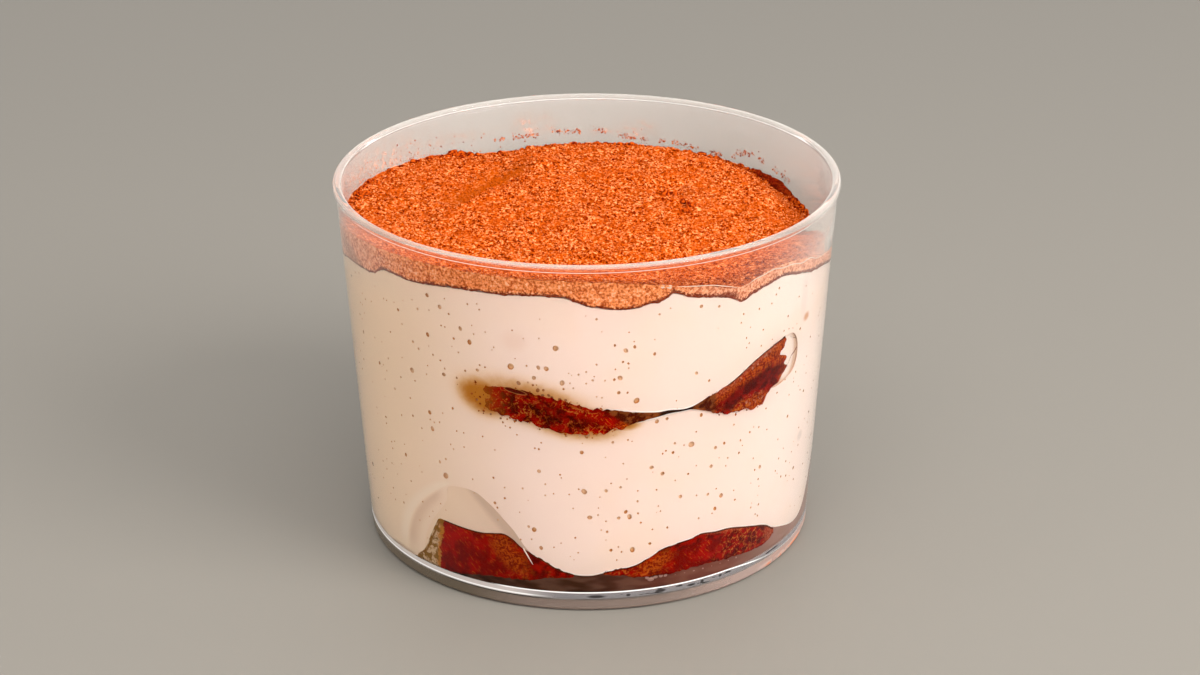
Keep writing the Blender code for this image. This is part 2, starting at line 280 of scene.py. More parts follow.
# The cup: a clear, slightly milky tumbler moulded in one piece, with a thick rounded lip, a filleted
# floor and a recessed foot. It is turned round its axis, finely enough for clean reflections.

CUP_HEIGHT = 64.7
RIM_RADIUS = 44
BASE_RADIUS = 39.5
LIP_PROUD = 0.4
LIP_HEIGHT = 0.85
WALL = 1.1
FLOOR_TOP = 2.6
FLOOR_UNDER = 1.1
FLOOR_FILLET = 1.2
FOOT_ROUND = 0.8
FOOT_WIDTH = 2.6
RIM_ROUND = 0.55
SPREAD = RIM_RADIUS - LIP_PROUD - BASE_RADIUS


def arc(centre_x, centre_z, radius, start, end, steps):
    """Points on an arc, in degrees from +X, both ends included."""
    points = []
    for number in range(steps + 1):
        angle = radians(start + (end - start) * number / steps)
        points.append((centre_x + radius * cos(angle), centre_z + radius * sin(angle)))
    return points


def outside(z):
    """The radius of the wall's outer face at a height."""
    return BASE_RADIUS + SPREAD * z / CUP_HEIGHT


def inside(z):
    """The radius of the wall's inner face, with the fillet where it turns into the floor."""
    rise = max(FLOOR_FILLET - min(z - FLOOR_TOP, FLOOR_FILLET), 0)
    turned_in = FLOOR_FILLET - sqrt(max(FLOOR_FILLET**2 - rise**2, 0))
    return outside(z) - WALL - turned_in


def faced_out(shape):
    bmesh.ops.recalc_face_normals(shape, faces=shape.faces)
    return shape


def spun(section, steps):
    """A section of (radius, height) points, turned right round the axis."""
    shape = bmesh.new()
    points = [shape.verts.new((radius, 0, height)) for radius, height in section]
    edges = [shape.edges.new(pair) for pair in zip(points, points[1:])]
    bmesh.ops.spin(
        shape, geom=points + edges, cent=(0, 0, 0), axis=(0, 0, 1), angle=tau, steps=steps, use_merge=True
    )
    bmesh.ops.remove_doubles(shape, verts=shape.verts, dist=1e-5)
    return faced_out(shape)


def piece(name, shape, finishes, replaced=(), crease=35):
    """Makes a shape in millimetres a finished piece in metres, and tells the frame about it."""
    bmesh.ops.scale(shape, vec=(MM, MM, MM), verts=shape.verts)
    for face in shape.faces:
        face.smooth = True
    for edge in shape.edges:
        edge.smooth = edge.calc_face_angle(0) < radians(crease)
    mesh = bpy.data.meshes.new(name)
    shape.to_mesh(mesh)
    shape.free()
    for finish in finishes:
        mesh.materials.append(finish.material)
    made = bpy.data.objects.new(name, mesh)
    scene.collection.objects.link(made)
    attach(made, "root")
    if replaced:
        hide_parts(*replaced)
    return made


lean = degrees(atan2(outside(CUP_HEIGHT) - BASE_RADIUS, CUP_HEIGHT))
fillet_top = FLOOR_TOP + FLOOR_FILLET
shoulder = CUP_HEIGHT - RIM_ROUND
under_lip = CUP_HEIGHT - LIP_HEIGHT
cup_section = [(0, FLOOR_TOP), (20, FLOOR_TOP)]
cup_section += arc(inside(fillet_top) - FLOOR_FILLET, fillet_top, FLOOR_FILLET, -90, -lean, 8)
cup_section += [(inside(z), z) for z in (12, 24, 36, 48, 58)]
cup_section += arc(inside(shoulder) + RIM_ROUND, shoulder, RIM_ROUND, 180, 90, 7)
cup_section += arc(RIM_RADIUS - RIM_ROUND, shoulder, RIM_ROUND, 90, 0, 7)
cup_section += arc(RIM_RADIUS - 0.4, under_lip + 0.1, 0.4, 0, -80, 5)
cup_section += [(outside(z), z) for z in (under_lip - 0.6, 58, 48, 36, 24, 12)]
cup_section += arc(outside(FOOT_ROUND) - FOOT_ROUND, FOOT_ROUND, FOOT_ROUND, 0, -90, 7)
cup_section += arc(BASE_RADIUS - FOOT_WIDTH + 0.2, 0.2, 0.2, -90, -180, 3)
cup_section += [(BASE_RADIUS - FOOT_WIDTH - 0.5, FLOOR_UNDER), (20, FLOOR_UNDER), (0, FLOOR_UNDER)]


def past_face(finish, face=BASE_RADIUS - WALL):
    """How far a point lies outside the wall's inner face, or a face of another radius at the foot."""
    return finish.radius - face - finish.z * (SPREAD / CUP_HEIGHT)


plastic = Finish("clear_plastic", 0.015, colour=(0.985, 0.985, 0.98)).locate()
plastic.set("IOR", 1.49)
plastic.set("Transmission Weight", 1)
plastic.set("Specular Tint", (0.06, 0.06, 0.06))
x, y, z, azimuth = plastic.x, plastic.y, plastic.z, plastic.azimuth
away_from_front = y.step(-39, -14)
far_right = x.step(26, 40)
haze_and_painted_light = z.step(50, 58) * (0.008 + away_from_front * (0.13 + far_right * 0.04))
haze_and_painted_light = haze_and_painted_light | z.step(63.4, 64.5) * (0.045 + away_from_front * (0.12 - far_right * 0.09))
# Painted highlight: extra milky white along the top of the lip at the front, standing in for its
# reflections.
haze_and_painted_light = haze_and_painted_light | z.step(64.2, 64.45) * (1 - away_from_front) * 0.17
# Painted light and shade at the foot: made milky and painted like the table seen through it, lit at the
# right and in shadow at the left.
foot_to_right = x.step(10.9, 28.4)
foot_to_left = x.step(-6.9, -22.1)
foot_share = z.step(2.5, 2.1)
haze_and_painted_light = haze_and_painted_light | foot_share * (0.3 + foot_to_right * 0.2 + foot_to_left * 0.2)
dusty_side = plastic.spots(
    (1, -112, 58.5, 17, 5, 0.7), (1, -166, 59.4, 4, 2.2, 0.6), (1, 167, 58.2, 3.6, 1.8, 0.6),
    (1, 178, 57.8, 6, 0.7, 0.6), (0.7, -140, 59, 9, 1.2, 0.7), (0.4, -62, 59.5, 14, 3, 0.7),
)
dusty_side = dusty_side * plastic.grain(1.4, 4, 0.7).step(0.35, 0.75)
red_edge = z.step(1.5, 0.8) * azimuth.step(46, 54) * azimuth.step(112, 96)
reddened_foot = red_edge * plastic.grain(1.6).step(0.34, 0.54) | plastic.spot(92, 11, 7, 13) * 0.5
haze_and_painted_light = haze_and_painted_light | dusty_side * 0.5 | reddened_foot * 0.55
milk = plastic.node("BsdfPrincipled", inputs={"Roughness": 0.45, "Specular IOR Level": 0.1})
plastic.colour = plastic.blend(dusty_side, (0.93, 0.87, 0.81), (0.85, 0.36, 0.2))
plastic.paint(reddened_foot, (0.8, 0.25, 0.12))
# The foot's painted light and shade: greyish brown at the right and dark at the left, where the shadow
# falls.
foot_light_and_shade = plastic.blend(foot_to_right, (0.42, 0.31, 0.26), (0.46, 0.33, 0.29))
foot_light_and_shade = plastic.blend(foot_to_left, foot_light_and_shade, (0.17, 0.13, 0.09))
plastic.paint(foot_share * (1 - reddened_foot), foot_light_and_shade)

# Painted shade and reflection on the floor and the lowest part of the inner face, dark brown at the left
# and greyish mauve at the right, where the shadowed table and the sponge show through the clear floor. The
# moulded corner of the floor is painted as catching the light.
floor_shade_top = 6.4 + x.step(-9.7, 1.4) * 1.2 - x.step(-22, -27.4) * 2.2
floor_shade_top = floor_shade_top + x.step(20, 34) * y.step(-11, -2) * y.step(26, 8) * 12
floor_shade = past_face(plastic).step(0.3, 0.1) * (floor_shade_top - z).step(-0.4, 0.4) * z.step(2.4, 2.55)
to_right = x.step(21.2, 37.1)
floor_shade_colour = plastic.blend(x.step(-2.8, 22.4), (0.05, 0.013, 0.003), (0.22, 0.062, 0.04))
floor_shade_colour = plastic.blend(to_right, floor_shade_colour, (0.55, 0.32, 0.26))
clouded = plastic.streaks(5, 1.6, 0.2).step(0.4, 0.62)
plastic.paint(floor_shade, plastic.blend(clouded * 0.25, floor_shade_colour, (0.36, 0.17, 0.11)))
haze_and_painted_light = haze_and_painted_light | floor_shade * (0.93 - to_right * 0.3)

# Painted light and shade at the moulded step at the height of the floor, where the thick base bends the
# light: a greyish band between two painted highlight lines, with a few painted dark streaks and a painted
# dark line below it.
outer_face = past_face(plastic, BASE_RADIUS - 0.6).step(0.2, 0.4)
band = outer_face * z.step(3.75, 3.55) * z.step(2.4, 2.55)
painted_dark_streaks = plastic.streaks(2.2, 0.5).step(0.62, 0.66) * x.step(-2.8, 5.6) | plastic.spots(
    (1, 1.8, 2.9, 1.7, 0.34), (1, 9.7, 2.9, 0.45, 0.3), (1, 17.9, 3, 1.1, 0.36), (1, 26.1, 2.9, 0.9, 0.26),
    (1, 29.2, 3.1, 0.4, 0.34), (1, 34.6, 3.1, 0.4, 0.3), (1, 54.5, 3.2, 1.7, 0.17),
)
dark_line = abs(z - 2.3).step(0.17, 0.06) * azimuth.step(-46, -36) * azimuth.step(2, -14)
upper_line = abs(z + x.step(23, 34.6) * 1.3 - 3.68).step(0.17, 0.08) * x.step(-17.3, -14.1)
upper_line = upper_line * (1 - x.step(27.4, 31.9) * 0.6)
lower_line = abs(z - 2.72).step(0.17, 0.08) * x.step(-5.5, -10.9)
painted_highlight_line = outer_face * (upper_line | lower_line)
band_to_left = x.step(-4, -14)
band_colour = plastic.blend(band_to_left, (0.37, 0.345, 0.355), (0.54, 0.48, 0.46))
plastic.paint(band, plastic.blend(painted_dark_streaks, band_colour, (0.03, 0.026, 0.026)))
plastic.paint(painted_highlight_line, (0.95, 0.94, 0.93))
plastic.paint(dark_line, (0.03, 0.026, 0.024))
haze_and_painted_light = haze_and_painted_light | band * (0.42 + band_to_left * 0.38 + painted_dark_streaks * 0.5)
haze_and_painted_light = haze_and_painted_light | painted_highlight_line * 0.8 | outer_face * dark_line * 0.8
plastic.fill(milk.socket.node.inputs["Base Color"], plastic.colour)
clear = Value(plastic, plastic.shader.outputs[0])
clear_and_milky = plastic.node("MixShader", inputs={0: haze_and_painted_light, 1: clear, 2: milk})
plastic.fill(plastic.tree.nodes["Material Output"].inputs["Surface"], clear_and_milky)

piece("tumbler", spun(cup_section, 288), [plastic], ["cup"])


# The lower ladyfingers: two coffee-soaked sponge fingers side by side on the floor. Each has its left
# end cut off, which shows the pale porous crumb, and its side bulges against the wall near both ends.

PRESSED = 0.42
UNDERSIDE = FLOOR_TOP - 0.05
CUT_X = -29.3
FINGER_LONG = 60.9
FINGER_WIDE = 27.5


def eased(value, low, high):
    share = min(max((value - low) / (high - low), 0), 1)
    return share * share * (3 - 2 * share)


def follow(stations, place, closed=False):
    """The height at a place on a smooth line through stations, which may close after one turn."""
    count = len(stations)
    if closed:
        place = (place + 180) % 360 - 180
    else:
        place = min(max(place, stations[0][0]), stations[-1][0])
    last = count if closed else count - 1
    after = next((i for i, station in enumerate(stations) if station[0] > place), last)

    def station(index):
        if closed:
            turns, at = divmod(index, count)
            return stations[at][0] + 360 * turns, stations[at][1]
        return stations[min(max(index, 0), count - 1)]

    (a0, h0), (a1, h1), (a2, h2), (a3, h3) = (station(after + step) for step in (-2, -1, 0, 1))
    share = (place - a1) / (a2 - a1)
    slope1 = (h2 - h0) / (a2 - a0) * (a2 - a1)
    slope2 = (h3 - h1) / (a3 - a1) * (a2 - a1)
    square, cube = share**2, share**3
    height = (2 * cube - 3 * square + 1) * h1 + (3 * square - 2 * cube) * h2
    return height + (cube - 2 * square + share) * slope1 + (cube - square) * slope2


def fine_block(cuts):
    """A cube from -1 to 1, cut along each axis, whose points are then given their places."""
    block = bmesh.new()
    bmesh.ops.create_cube(block, size=2)
    for axis in range(3):
        run = [edge for edge in block.edges if abs((edge.verts[0].co - edge.verts[1].co)[axis]) > 0.9]
        bmesh.ops.subdivide_edges(block, edges=run, cuts=cuts[axis], use_grid_fill=True)
    return block


def crumb_relief(place, seed):
    """Small holes and knobs of a sponge's surface, in millimetres, 0 on the skin and less in holes."""
    shifted = place + Vector((seed, 0, 0))
    holes = max(noise.noise(shifted / 1.5) - 0.08, 0) + 0.6 * max(noise.noise(shifted / 0.7) - 0.1, 0)
    return max(-1.1 * holes, -0.22)


def pressed_to_wall(place):
    """Brings a point that lies beyond the wall back onto it."""
    reach = hypot(place.x, place.y)
    limit = inside(place.z) + PRESSED
    if reach > limit:
        place = Vector((place.x * limit / reach, place.y * limit / reach, place.z))
    return place


# Plan of the front lower finger on the floor, as (x, y), and how far its side bulges over that line.
FLOOR_LINE = (
    (-29, -24), (-26.6, -27), (-24.1, -28.9), (-20.5, -30.3), (-15.3, -31.2), (-10.1, -31.7), (-5, -31.4),
    (0.2, -31.1), (5.4, -31.1), (10.5, -30.5), (15.7, -29.1), (19.3, -27.9), (22.8, -26.2), (26.4, -23.4),
    (29.2, -20.4), (31.7, -15.9),
)
FINGER_TOPS = (
    (-29, 12.9), (-25, 13.4), (-20, 13.6), (-15, 13.8), (-8, 13.2), (0, 12.4), (8, 12.3), (14, 12.6),
    (20, 12.3), (26, 12), (29, 10.2), (31.7, 7.5),
)

# The lower and the upper edge of the side that lies flat on the wall, as (azimuth, height).
PRESS_FEET = (
    (-49, 3.4), (-45, 3.7), (-40.5, 3.5), (-35, 3.8), (-30.6, 4.3), (-26, 5), (-17.5, 5.3), (-13.9, 5.6),
    (-10.8, 6.2), (-6.8, 6.4), (-3, 6.7), (3, 6.9), (6.7, 6.9), (11.3, 6.3), (19.5, 6), (29.7, 6.3),
    (40, 5.9), (46, 5.6), (49.7, 5.5), (52.3, 6), (53.6, 6.7), (56, 7.2),
)
PRESS_TOPS = (
    (-49, 13.3), (-38.7, 13.4), (-31.2, 13.1), (-27.2, 13.1), (-23.8, 13.5), (-21.1, 13.7), (-18.8, 12.9),
    (-16.7, 11.5), (-14.5, 10.7), (-11.5, 9.6), (-8.1, 8.1), (-5.1, 7.3), (-2.1, 6.9), (0.9, 6.95),
    (3.4, 7.3), (7.6, 7.9), (11.3, 8.3), (15.1, 9.6), (18, 10.8), (21.9, 11.5), (25.5, 11.8), (28.7, 12.4),
    (33.1, 12), (37.3, 11.8), (43.1, 10.7), (48.3, 9.6), (51.2, 8.8), (53, 7.9), (54.1, 7.3), (56, 7.3),
)
END_LEAN = ((2.5, 0.2), (3.9, 0), (6.2, 1.6), (9.1, 2.6), (11.7, 3.6), (13.4, 4.2))


# The height of the cream's lower edge at the wall, as (azimuth, height).
CREAM_FOOT = (
    (-180, 7.2), (-166, 9.8), (-150, 13.2), (-138, 12.4), (-127, 4.6), (-112, 2.9), (-60, 2.75), (-54, 3),
    (-48, 3.9), (-45, 6), (-42, 9.8), (-40, 12.4), (-37, 13.2), (-31, 13), (-27, 13), (-23.8, 13.4),
    (-21, 13.6), (-18.8, 12.8), (-16.7, 11.4), (-14.5, 10.6), (-11.5, 9.5), (-8, 8), (-5, 7.2), (-2, 6.8),
    (1, 6.8), (3.4, 7.2), (7.6, 7.8), (11.3, 8.2), (15, 9.5), (18, 10.7), (22, 11.4), (25.5, 11.7),
    (28.7, 12.3), (33, 11.9), (37.3, 11.7), (43, 10.6), (49.7, 9.2), (53.6, 7.6), (58, 6.5), (62, 5.6),
    (66, 5.1), (71, 5.6), (75, 8), (80, 13), (86, 17.2), (92, 17.4), (100, 13.6), (110, 8.8), (120, 6.2),
    (130, 5.8), (138, 9.2), (146, 12), (156, 12.2), (166, 9.8),
)


def azimuth_of(x, y):
    return degrees(atan2(x, -y))


def lower_finger(turn, shift, seed):
    """A sponge finger on the floor. Its left end, where x is least, is cut across."""
    block = fine_block((200, 36, 34))
    below_edge = block.verts.layers.float.new("below_edge")
    from_end = block.verts.layers.float.new("from_end")
    rotation = Matrix.Rotation(radians(turn), 3, "Z")
    for point in block.verts:
        along, side, level = point.co
        x = CUT_X + FINGER_LONG * (along + 1) / 2
        azimuth = degrees(asin(x / 39))
        line = Vector((x, seed, 0))
        up = (level + 1) / 2
        feet = follow(PRESS_FEET, azimuth) + 0.22 * noise.noise(line / 0.8) + 0.15 * noise.noise(line / 0.35)
        top_of_flat = follow(PRESS_TOPS, azimuth)
        top = max(follow(FINGER_TOPS, x), top_of_flat + 0.3)
        at_front = UNDERSIDE + (feet - FLOOR_TOP) * min(up / 0.2, 1)
        at_front += (top_of_flat - feet) * min(max((up - 0.2) / 0.65, 0), 1)
        at_front += (top - top_of_flat) * max((up - 0.85) / 0.15, 0)
        rounding = sqrt(max(1 - max((along - 0.62) / 0.38, 0) ** 2.4, 0))
        dome = 1 - 0.16 * max(side, 0) ** 5 * eased(up, 0.4, 1)
        within = UNDERSIDE + (top - FLOOR_TOP) * up * (0.7 + 0.3 * rounding) * dome
        share = (side + 1) / 2
        inward = eased(share, 0, 0.16)
        height = at_front + (within - at_front) * inward
        x += follow(END_LEAN, height) * eased(-along, 0.84, 1) * (1 - inward)
        meets = eased(up, 0.06, 0.2) * (1 - eased(up, 0.85, 0.93))
        meets *= eased(abs(azimuth), 0.5, 4)
        free = follow(FLOOR_LINE, x)
        at_wall = -sqrt(max((inside(height) + PRESSED) ** 2 - x * x, 0))
        front = free + (at_wall - free) * meets
        back = free + FINGER_WIDE * (0.35 + 0.65 * rounding)
        place = Vector((x, front + (back - front) * share, height))
        if side > -0.99:
            wander = Vector(noise.noise_vector(place / 3 + Vector((seed, 3, 5))))
            place += wander * 0.35 * inward * min(up * 9, 1)
            place.z += crumb_relief(place, seed) * eased(up, 0.02, 0.12)
        else:
            place.y -= crumb_relief(place, seed) * eased(up, 0.02, 0.12)
        place.z = max(place.z, UNDERSIDE)
        place = rotation @ place + Vector((*shift, 0))
        point.co = pressed_to_wall(place)
        point[below_edge] = top_of_flat - height if side < -0.99 else 1
        point[from_end] = FINGER_LONG / 2 * (along + 1) if side < -0.99 else 9
    return faced_out(block)


sponge = Finish("soaked_sponge", 0.5, 0).locate()
mottle = sponge.grain(1.45, 2.5, 0.55)
broad = sponge.grain(3.4)
fine_crumb = sponge.grain(0.42, 2, 0.7)
crumb_lines = sponge.crumb(1.4).step(0.13, 0.04) * fine_crumb.step(0.44, 0.56)

# Where the sponge is pressed flat it is deep wet red, darkest in the middle of the upper layer.
sponge.colour = sponge.blend(mottle.step(0.38, 0.6), (0.1, 0.001, 0.0001), (0.31, 0.003, 0.0002))
flat_red = sponge.spots(
    (1, -31, 8.4, 7.6, 5.8, 0.35, -8, 0.5), (1, 26.6, 8.2, 5.4, 2.2, 0.25, 12, 0.9),
    (1, 4, 35.6, 3, 1.5, 0.3, 0, 0.7),
    uneven=mottle,
)
sponge.paint(flat_red * 0.85, sponge.blend(broad.step(0.4, 0.62), (0.19, 0.001, 0), (0.4, 0.002, 0)))
dark_core = sponge.spots(
    (1, -12, 38, 5.2, 1.6, 0.5, -20, 1.6), (0.8, -1, 36.2, 4, 1.3, 0.5, -12, 1.6),
    uneven=mottle,
)
core_colour = sponge.blend(mottle.step(0.4, 0.56), (0.045, 0.001, 0), (0.17, 0.002, 0))
sponge.paint(dark_core * 0.9, core_colour)

# Elsewhere gold and orange crumb shows between the wet clods.
gold_zones = sponge.spots(
    (1, 42, 8.6, 4.6, 3.4), (0.7, 13, 7.6, 4.2, 2.2), (0.7, -18, 38.2, 6.5, 2.6, 0.5, -14),
    (0.8, 1, 34.6, 5, 0.9, 0.5, 4), (1.3, 41.5, 34.8, 4.4, 1.5), (0.9, -3, 38.6, 4.2, 0.8, 0.5, -16),
)
crumbly = crumb_lines * (broad.step(0.5, 0.66) * 0.6 * (1 - flat_red) | gold_zones)
crumb_colour = sponge.blend(mottle.step(0.44, 0.56), (0.36, 0.06, 0.003), (0.56, 0.185, 0.024))
sponge.paint(crumbly * 0.85 & 1, crumb_colour)
orange_zones = sponge.spots(
    (1, 44, 41.2, 7.2, 1.3, 0.4, 24, 1.1), (1, 51, 42, 2.4, 3, 0.5, 0, 1.2),
    (1, 34, 38.6, 3.4, 1.1, 0.5, 24, 1.1), (1, 52, 38.4, 1.2, 1.8, 0.5, 0, 1.2),
    (0.9, 16.5, 8.2, 3.4, 1.5, 0.5, 26, 1), (0.9, -19.6, 9.8, 4.2, 2, 0.5, -48, 1.2),
    (0.6, -26, 13.3, 8.5, 0.6, 0.6, -2), (1, 9.2, 35.6, 1.5, 0.7), (0.8, 42.5, 34.7, 4.8, 1.3, 0.5, 0, 1.4),
    uneven=mottle,
)
orange_colour = sponge.blend(fine_crumb.step(0.42, 0.58), (0.2, 0.012, 0.0006), (0.52, 0.085, 0.004))
sponge.paint(orange_zones * 0.9, orange_colour)
right_core = sponge.spots(
    (1, 45, 38.5, 6.8, 1.5, 0.4, 6, 0.8), (1, 35.4, 36.5, 2.9, 1.35, 0.4, 32, 0.8),
    uneven=mottle,
)
core_colour = sponge.blend(mottle.step(0.4, 0.6), (0.075, 0.001, 0), (0.15, 0.002, 0))
sponge.paint(right_core * 0.9, core_colour)
pink_skin = sponge.spots(
    (1, 42, 42.3, 8.6, 0.6, 0.4, 24), (1, 39, 11.5, 8.4, 0.6, 0.5, -9), (1, 52.6, 7.4, 1.6, 2.2),
    (0.6, 33.5, 39.2, 2.4, 0.7, 0.5, 24),
)
pink_colour = sponge.blend(fine_crumb.step(0.42, 0.58), (0.34, 0.036, 0.008), (0.5, 0.12, 0.05))
sponge.paint(pink_skin * 0.75, pink_colour)
pale_bits = sponge.spots((1, 42.5, 42.2, 7.4, 0.8, 0.5, 24), (1, 42, 34.9, 3.6, 1.5))
sponge.paint(sponge.grain(0.6, 2, 0.6).step(0.58, 0.64) * pale_bits * 0.4, (0.74, 0.38, 0.22))
faded_end = sponge.spots((0.7, -26.5, 39.4, 3.6, 3.2, 0.8, 0, 2), uneven=mottle)
sponge.paint(faded_end, (0.31, 0.092, 0.005))
scratches = sponge.streaks(1.1, 0.26, -50).step(0.6, 0.68) * flat_red * broad.step(0.36, 0.5)
sponge.paint(scratches * 0.5, (0.58, 0.12, 0.008))
# Painted shade: a dark slit in the upper front patch, inside a brown rim.
sponge.paint(sponge.spot(-16.4, 41.4, 1.95, 0.5, 0.1, -12) * 0.8, (0.4, 0.15, 0.04))
sponge.paint(sponge.spot(-16.4, 41.4, 1.75, 0.36, 0.1, -12), (0.085, 0.005, 0.001))

# Off the wall it is a matt orange brown, and in the narrow wedges by the crevice a glassy brown.
off_wall = PRESSED - past_face(sponge)
matt_colour = sponge.blend(mottle.step(0.36, 0.62), (0.16, 0.02, 0.002), (0.4, 0.105, 0.012))
sponge.paint(off_wall.step(0.25, 0.6), matt_colour)
wedges = (sponge.azimuth + sponge.z * 1.9 - 76.8 + (fine_crumb - 0.5) * 2.4).step(-0.5, 0.7)
wedges = wedges * (sponge.azimuth + (fine_crumb - 0.5) * 2).step(31.6, 30.2)
wedge_colour = sponge.blend(mottle.step(0.42, 0.58), (0.07, 0.006, 0.0006), (0.21, 0.05, 0.01))
sponge.paint(wedges, wedge_colour)
# Painted shade: a near-black spot where the crevice between the upper patches is narrowest.
sponge.paint(sponge.spot(20.8, 37.1, 2.9, 1.1, 0.2), (0.022, 0.007, 0.004))
# Painted shade: a dark line just below the top edge of each pressed patch, under the cream's edge.
sponge.paint(sponge.measured("below_edge").step(0.34, 0.12) * 0.85, (0.055, 0.01, 0.002))

# The cut end is pale and porous inside a brown rim.
from_cut = sponge.azimuth + 41.4 - sponge.z * 0.24 + (mottle - 0.5) * 3.6 + (fine_crumb - 0.5) * 2.2
cut_face = from_cut.step(0.2, -0.2) * sponge.y.step(-10, -20)
porous = sponge.blend(mottle.step(0.44, 0.5), (0.24, 0.11, 0.02), (0.62, 0.42, 0.25))
porous = sponge.blend(fine_crumb.step(0.54, 0.6) * 0.8, porous, (0.3, 0.15, 0.03))
porous = sponge.blend(from_cut.step(-1.6, -0.6) * 0.9, porous, (0.52, 0.19, 0.02))
from_end = sponge.measured("from_end") + (fine_crumb - 0.5) * 0.7
cut_rim = sponge.z.step(11.6, 12.8) | from_end.step(0.42, 0.2)
sponge.paint(cut_face, sponge.blend(cut_rim * 0.9, porous, (0.23, 0.095, 0.012)))
sponge.set("Base Color", sponge.colour)
sponge.bump(fine_crumb * 0.2 + mottle * 0.25)

for name, turn, shift, seed in (
    ("lower_finger_front", 0, (0, 0), 11),
    ("lower_finger_back", 180, (0, -1.2), 47),
):
    node = "ladyfinger_bottom_" + name.split("_")[-1]
    piece(name, lower_finger(turn, shift, seed), [sponge], [node], 60)


# The upper ladyfingers: two more, across the cup at a slight turn, so that each shows its long side at
# the wall in two patches with a thin crevice between them. Their lines are measured along that side.

UPPER_TURN = 15.5
BACK_TURN = UPPER_TURN + 176
HALF_LONG = 28.6
PATCH_RADIUS = 41.2
UPPER_PATCH = (
    (-28.6, 41.2, 40.6), (-27.3, 41.5, 38.6), (-25.6, 41.6, 37.4), (-23.3, 41.9, 36.5), (-20.4, 41.5, 35.9),
    (-18.4, 40.9, 35.2), (-15.2, 40.1, 34.6), (-13.5, 39.6, 34.3), (-12.3, 39.2, 34.1), (-10.1, 38.7, 33.9),
    (-7.9, 38.6, 34.3), (-5.7, 38.2, 35), (-3.6, 37.8, 35.6), (-1.4, 37.5, 36.2), (0.5, 37.3, 36.5),
    (2.5, 37.4, 36.85), (4.9, 37.15, 36.9), (6.4, 37.3, 36.9), (7.9, 37.8, 36.5), (10.3, 38.8, 35.6),
    (12.1, 39.4, 34.9), (13.5, 40, 34.4), (15.2, 40.9, 34.3), (17.9, 42.5, 33.7), (19.4, 43.2, 33.6),
    (20.4, 43.6, 34), (21.4, 43.9, 35), (22.6, 44.3, 36.2), (24.2, 44.6, 37), (25.6, 44.4, 38.4),
    (26.6, 43.6, 40), (27.6, 43, 41), (28.6, 42, 41.4),
)
PATCH_TOPS = [(s, top) for s, top, bottom in UPPER_PATCH]
PATCH_FEET = [(s, bottom) for s, top, bottom in UPPER_PATCH]


def upper_finger(turn, order, seed):
    """A sponge finger pressed sideways to the wall. order is -1 for one that lies the other way round."""
    block = fine_block((240, 30, 26))
    below_edge = block.verts.layers.float.new("below_edge")
    from_end = block.verts.layers.float.new("from_end")
    outward = Vector((sin(radians(turn)), -cos(radians(turn)), 0))
    along_side = Vector((cos(radians(turn)), sin(radians(turn)), 0))
    for point in block.verts:
        along, side, level = point.co
        s = HALF_LONG * along
        measured = s * order
        line = Vector((s, seed, 0))
        ragged_top = 0.4 * noise.noise(line / 0.9) + 0.15 * noise.noise(line / 0.4)
        ragged_foot = 0.7 * noise.noise((line + Vector((0, 9, 0))) / 1.1) + 0.25 * noise.noise(line / 0.45)
        top, foot = follow(PATCH_TOPS, measured), follow(PATCH_FEET, measured)
        open_share = eased(top - foot, 0.9, 3)
        crisp = eased(measured, 9, 14)
        top += ragged_top * open_share * (1 - 0.8 * crisp)
        foot += ragged_foot * open_share
        up = (level + 1) / 2
        narrowing = sqrt(max(1 - abs(along) ** 6, 0))
        middle = 36.9 + 4.4 * (1 - exp(-((s / 24) ** 2)))
        body = middle + 4.1 * level * (0.35 + 0.65 * narrowing) * (1 - 0.25 * abs(side) ** 4)
        at_wall = foot + (top - foot) * up
        inward = eased((side + 1) / 2, 0, 0.22)
        height = at_wall + (body - at_wall) * inward
        reach = sqrt(max((inside(height) + PRESSED) ** 2 - s * s, 0))
        depth = 28 * (0.5 + 0.5 * narrowing)
        distance = reach - depth * (side + 1) / 2
        if side < -0.99:
            edge = min(up, 1 - up) * (top - foot)
            distance += crumb_relief(Vector((s, seed, height)), seed) * eased(edge, 0.15, 0.6)
            notch = 1.3 * exp(-(((height - 41.9) / 0.9) ** 2)) + 0.9 * noise.noise(Vector((height, 3, 0)))
            distance -= 1.4 * eased(measured, 24.9 - notch, 25.7 - notch)
            faint = eased(-measured, 25, 27.4)
            distance -= faint * (1.1 + 0.9 * noise.noise(Vector((s, 0, height)) / 1.15))
        place = along_side * s + outward * distance + Vector((0, 0, height))
        if side >= -0.99:
            place += Vector(noise.noise_vector(place / 2.2 + Vector((seed, 3, 5)))) * 0.4 * inward
        point.co = pressed_to_wall(place)
        point[below_edge] = top - place.z + 1.2 * (1 - crisp)
        point[from_end] = 9
    return faced_out(block)


for name, turn, order, seed in (
    ("upper_finger_front", UPPER_TURN, 1, 21),
    ("upper_finger_back", BACK_TURN, -1, 33),
):
    node = "ladyfinger_middle_" + name.split("_")[-1]
    piece(name, upper_finger(turn, order, seed), [sponge], [node], 60)


# Loose crumbs of the upper fingers: bits of wet sponge torn off along the patches' edges, held between
# the cream and the wall.

def on_wall(azimuth, height, proud=0):
    turn = radians(azimuth)
    reach = inside(height) + proud
    return Vector((reach * sin(turn), -reach * cos(turn), height))


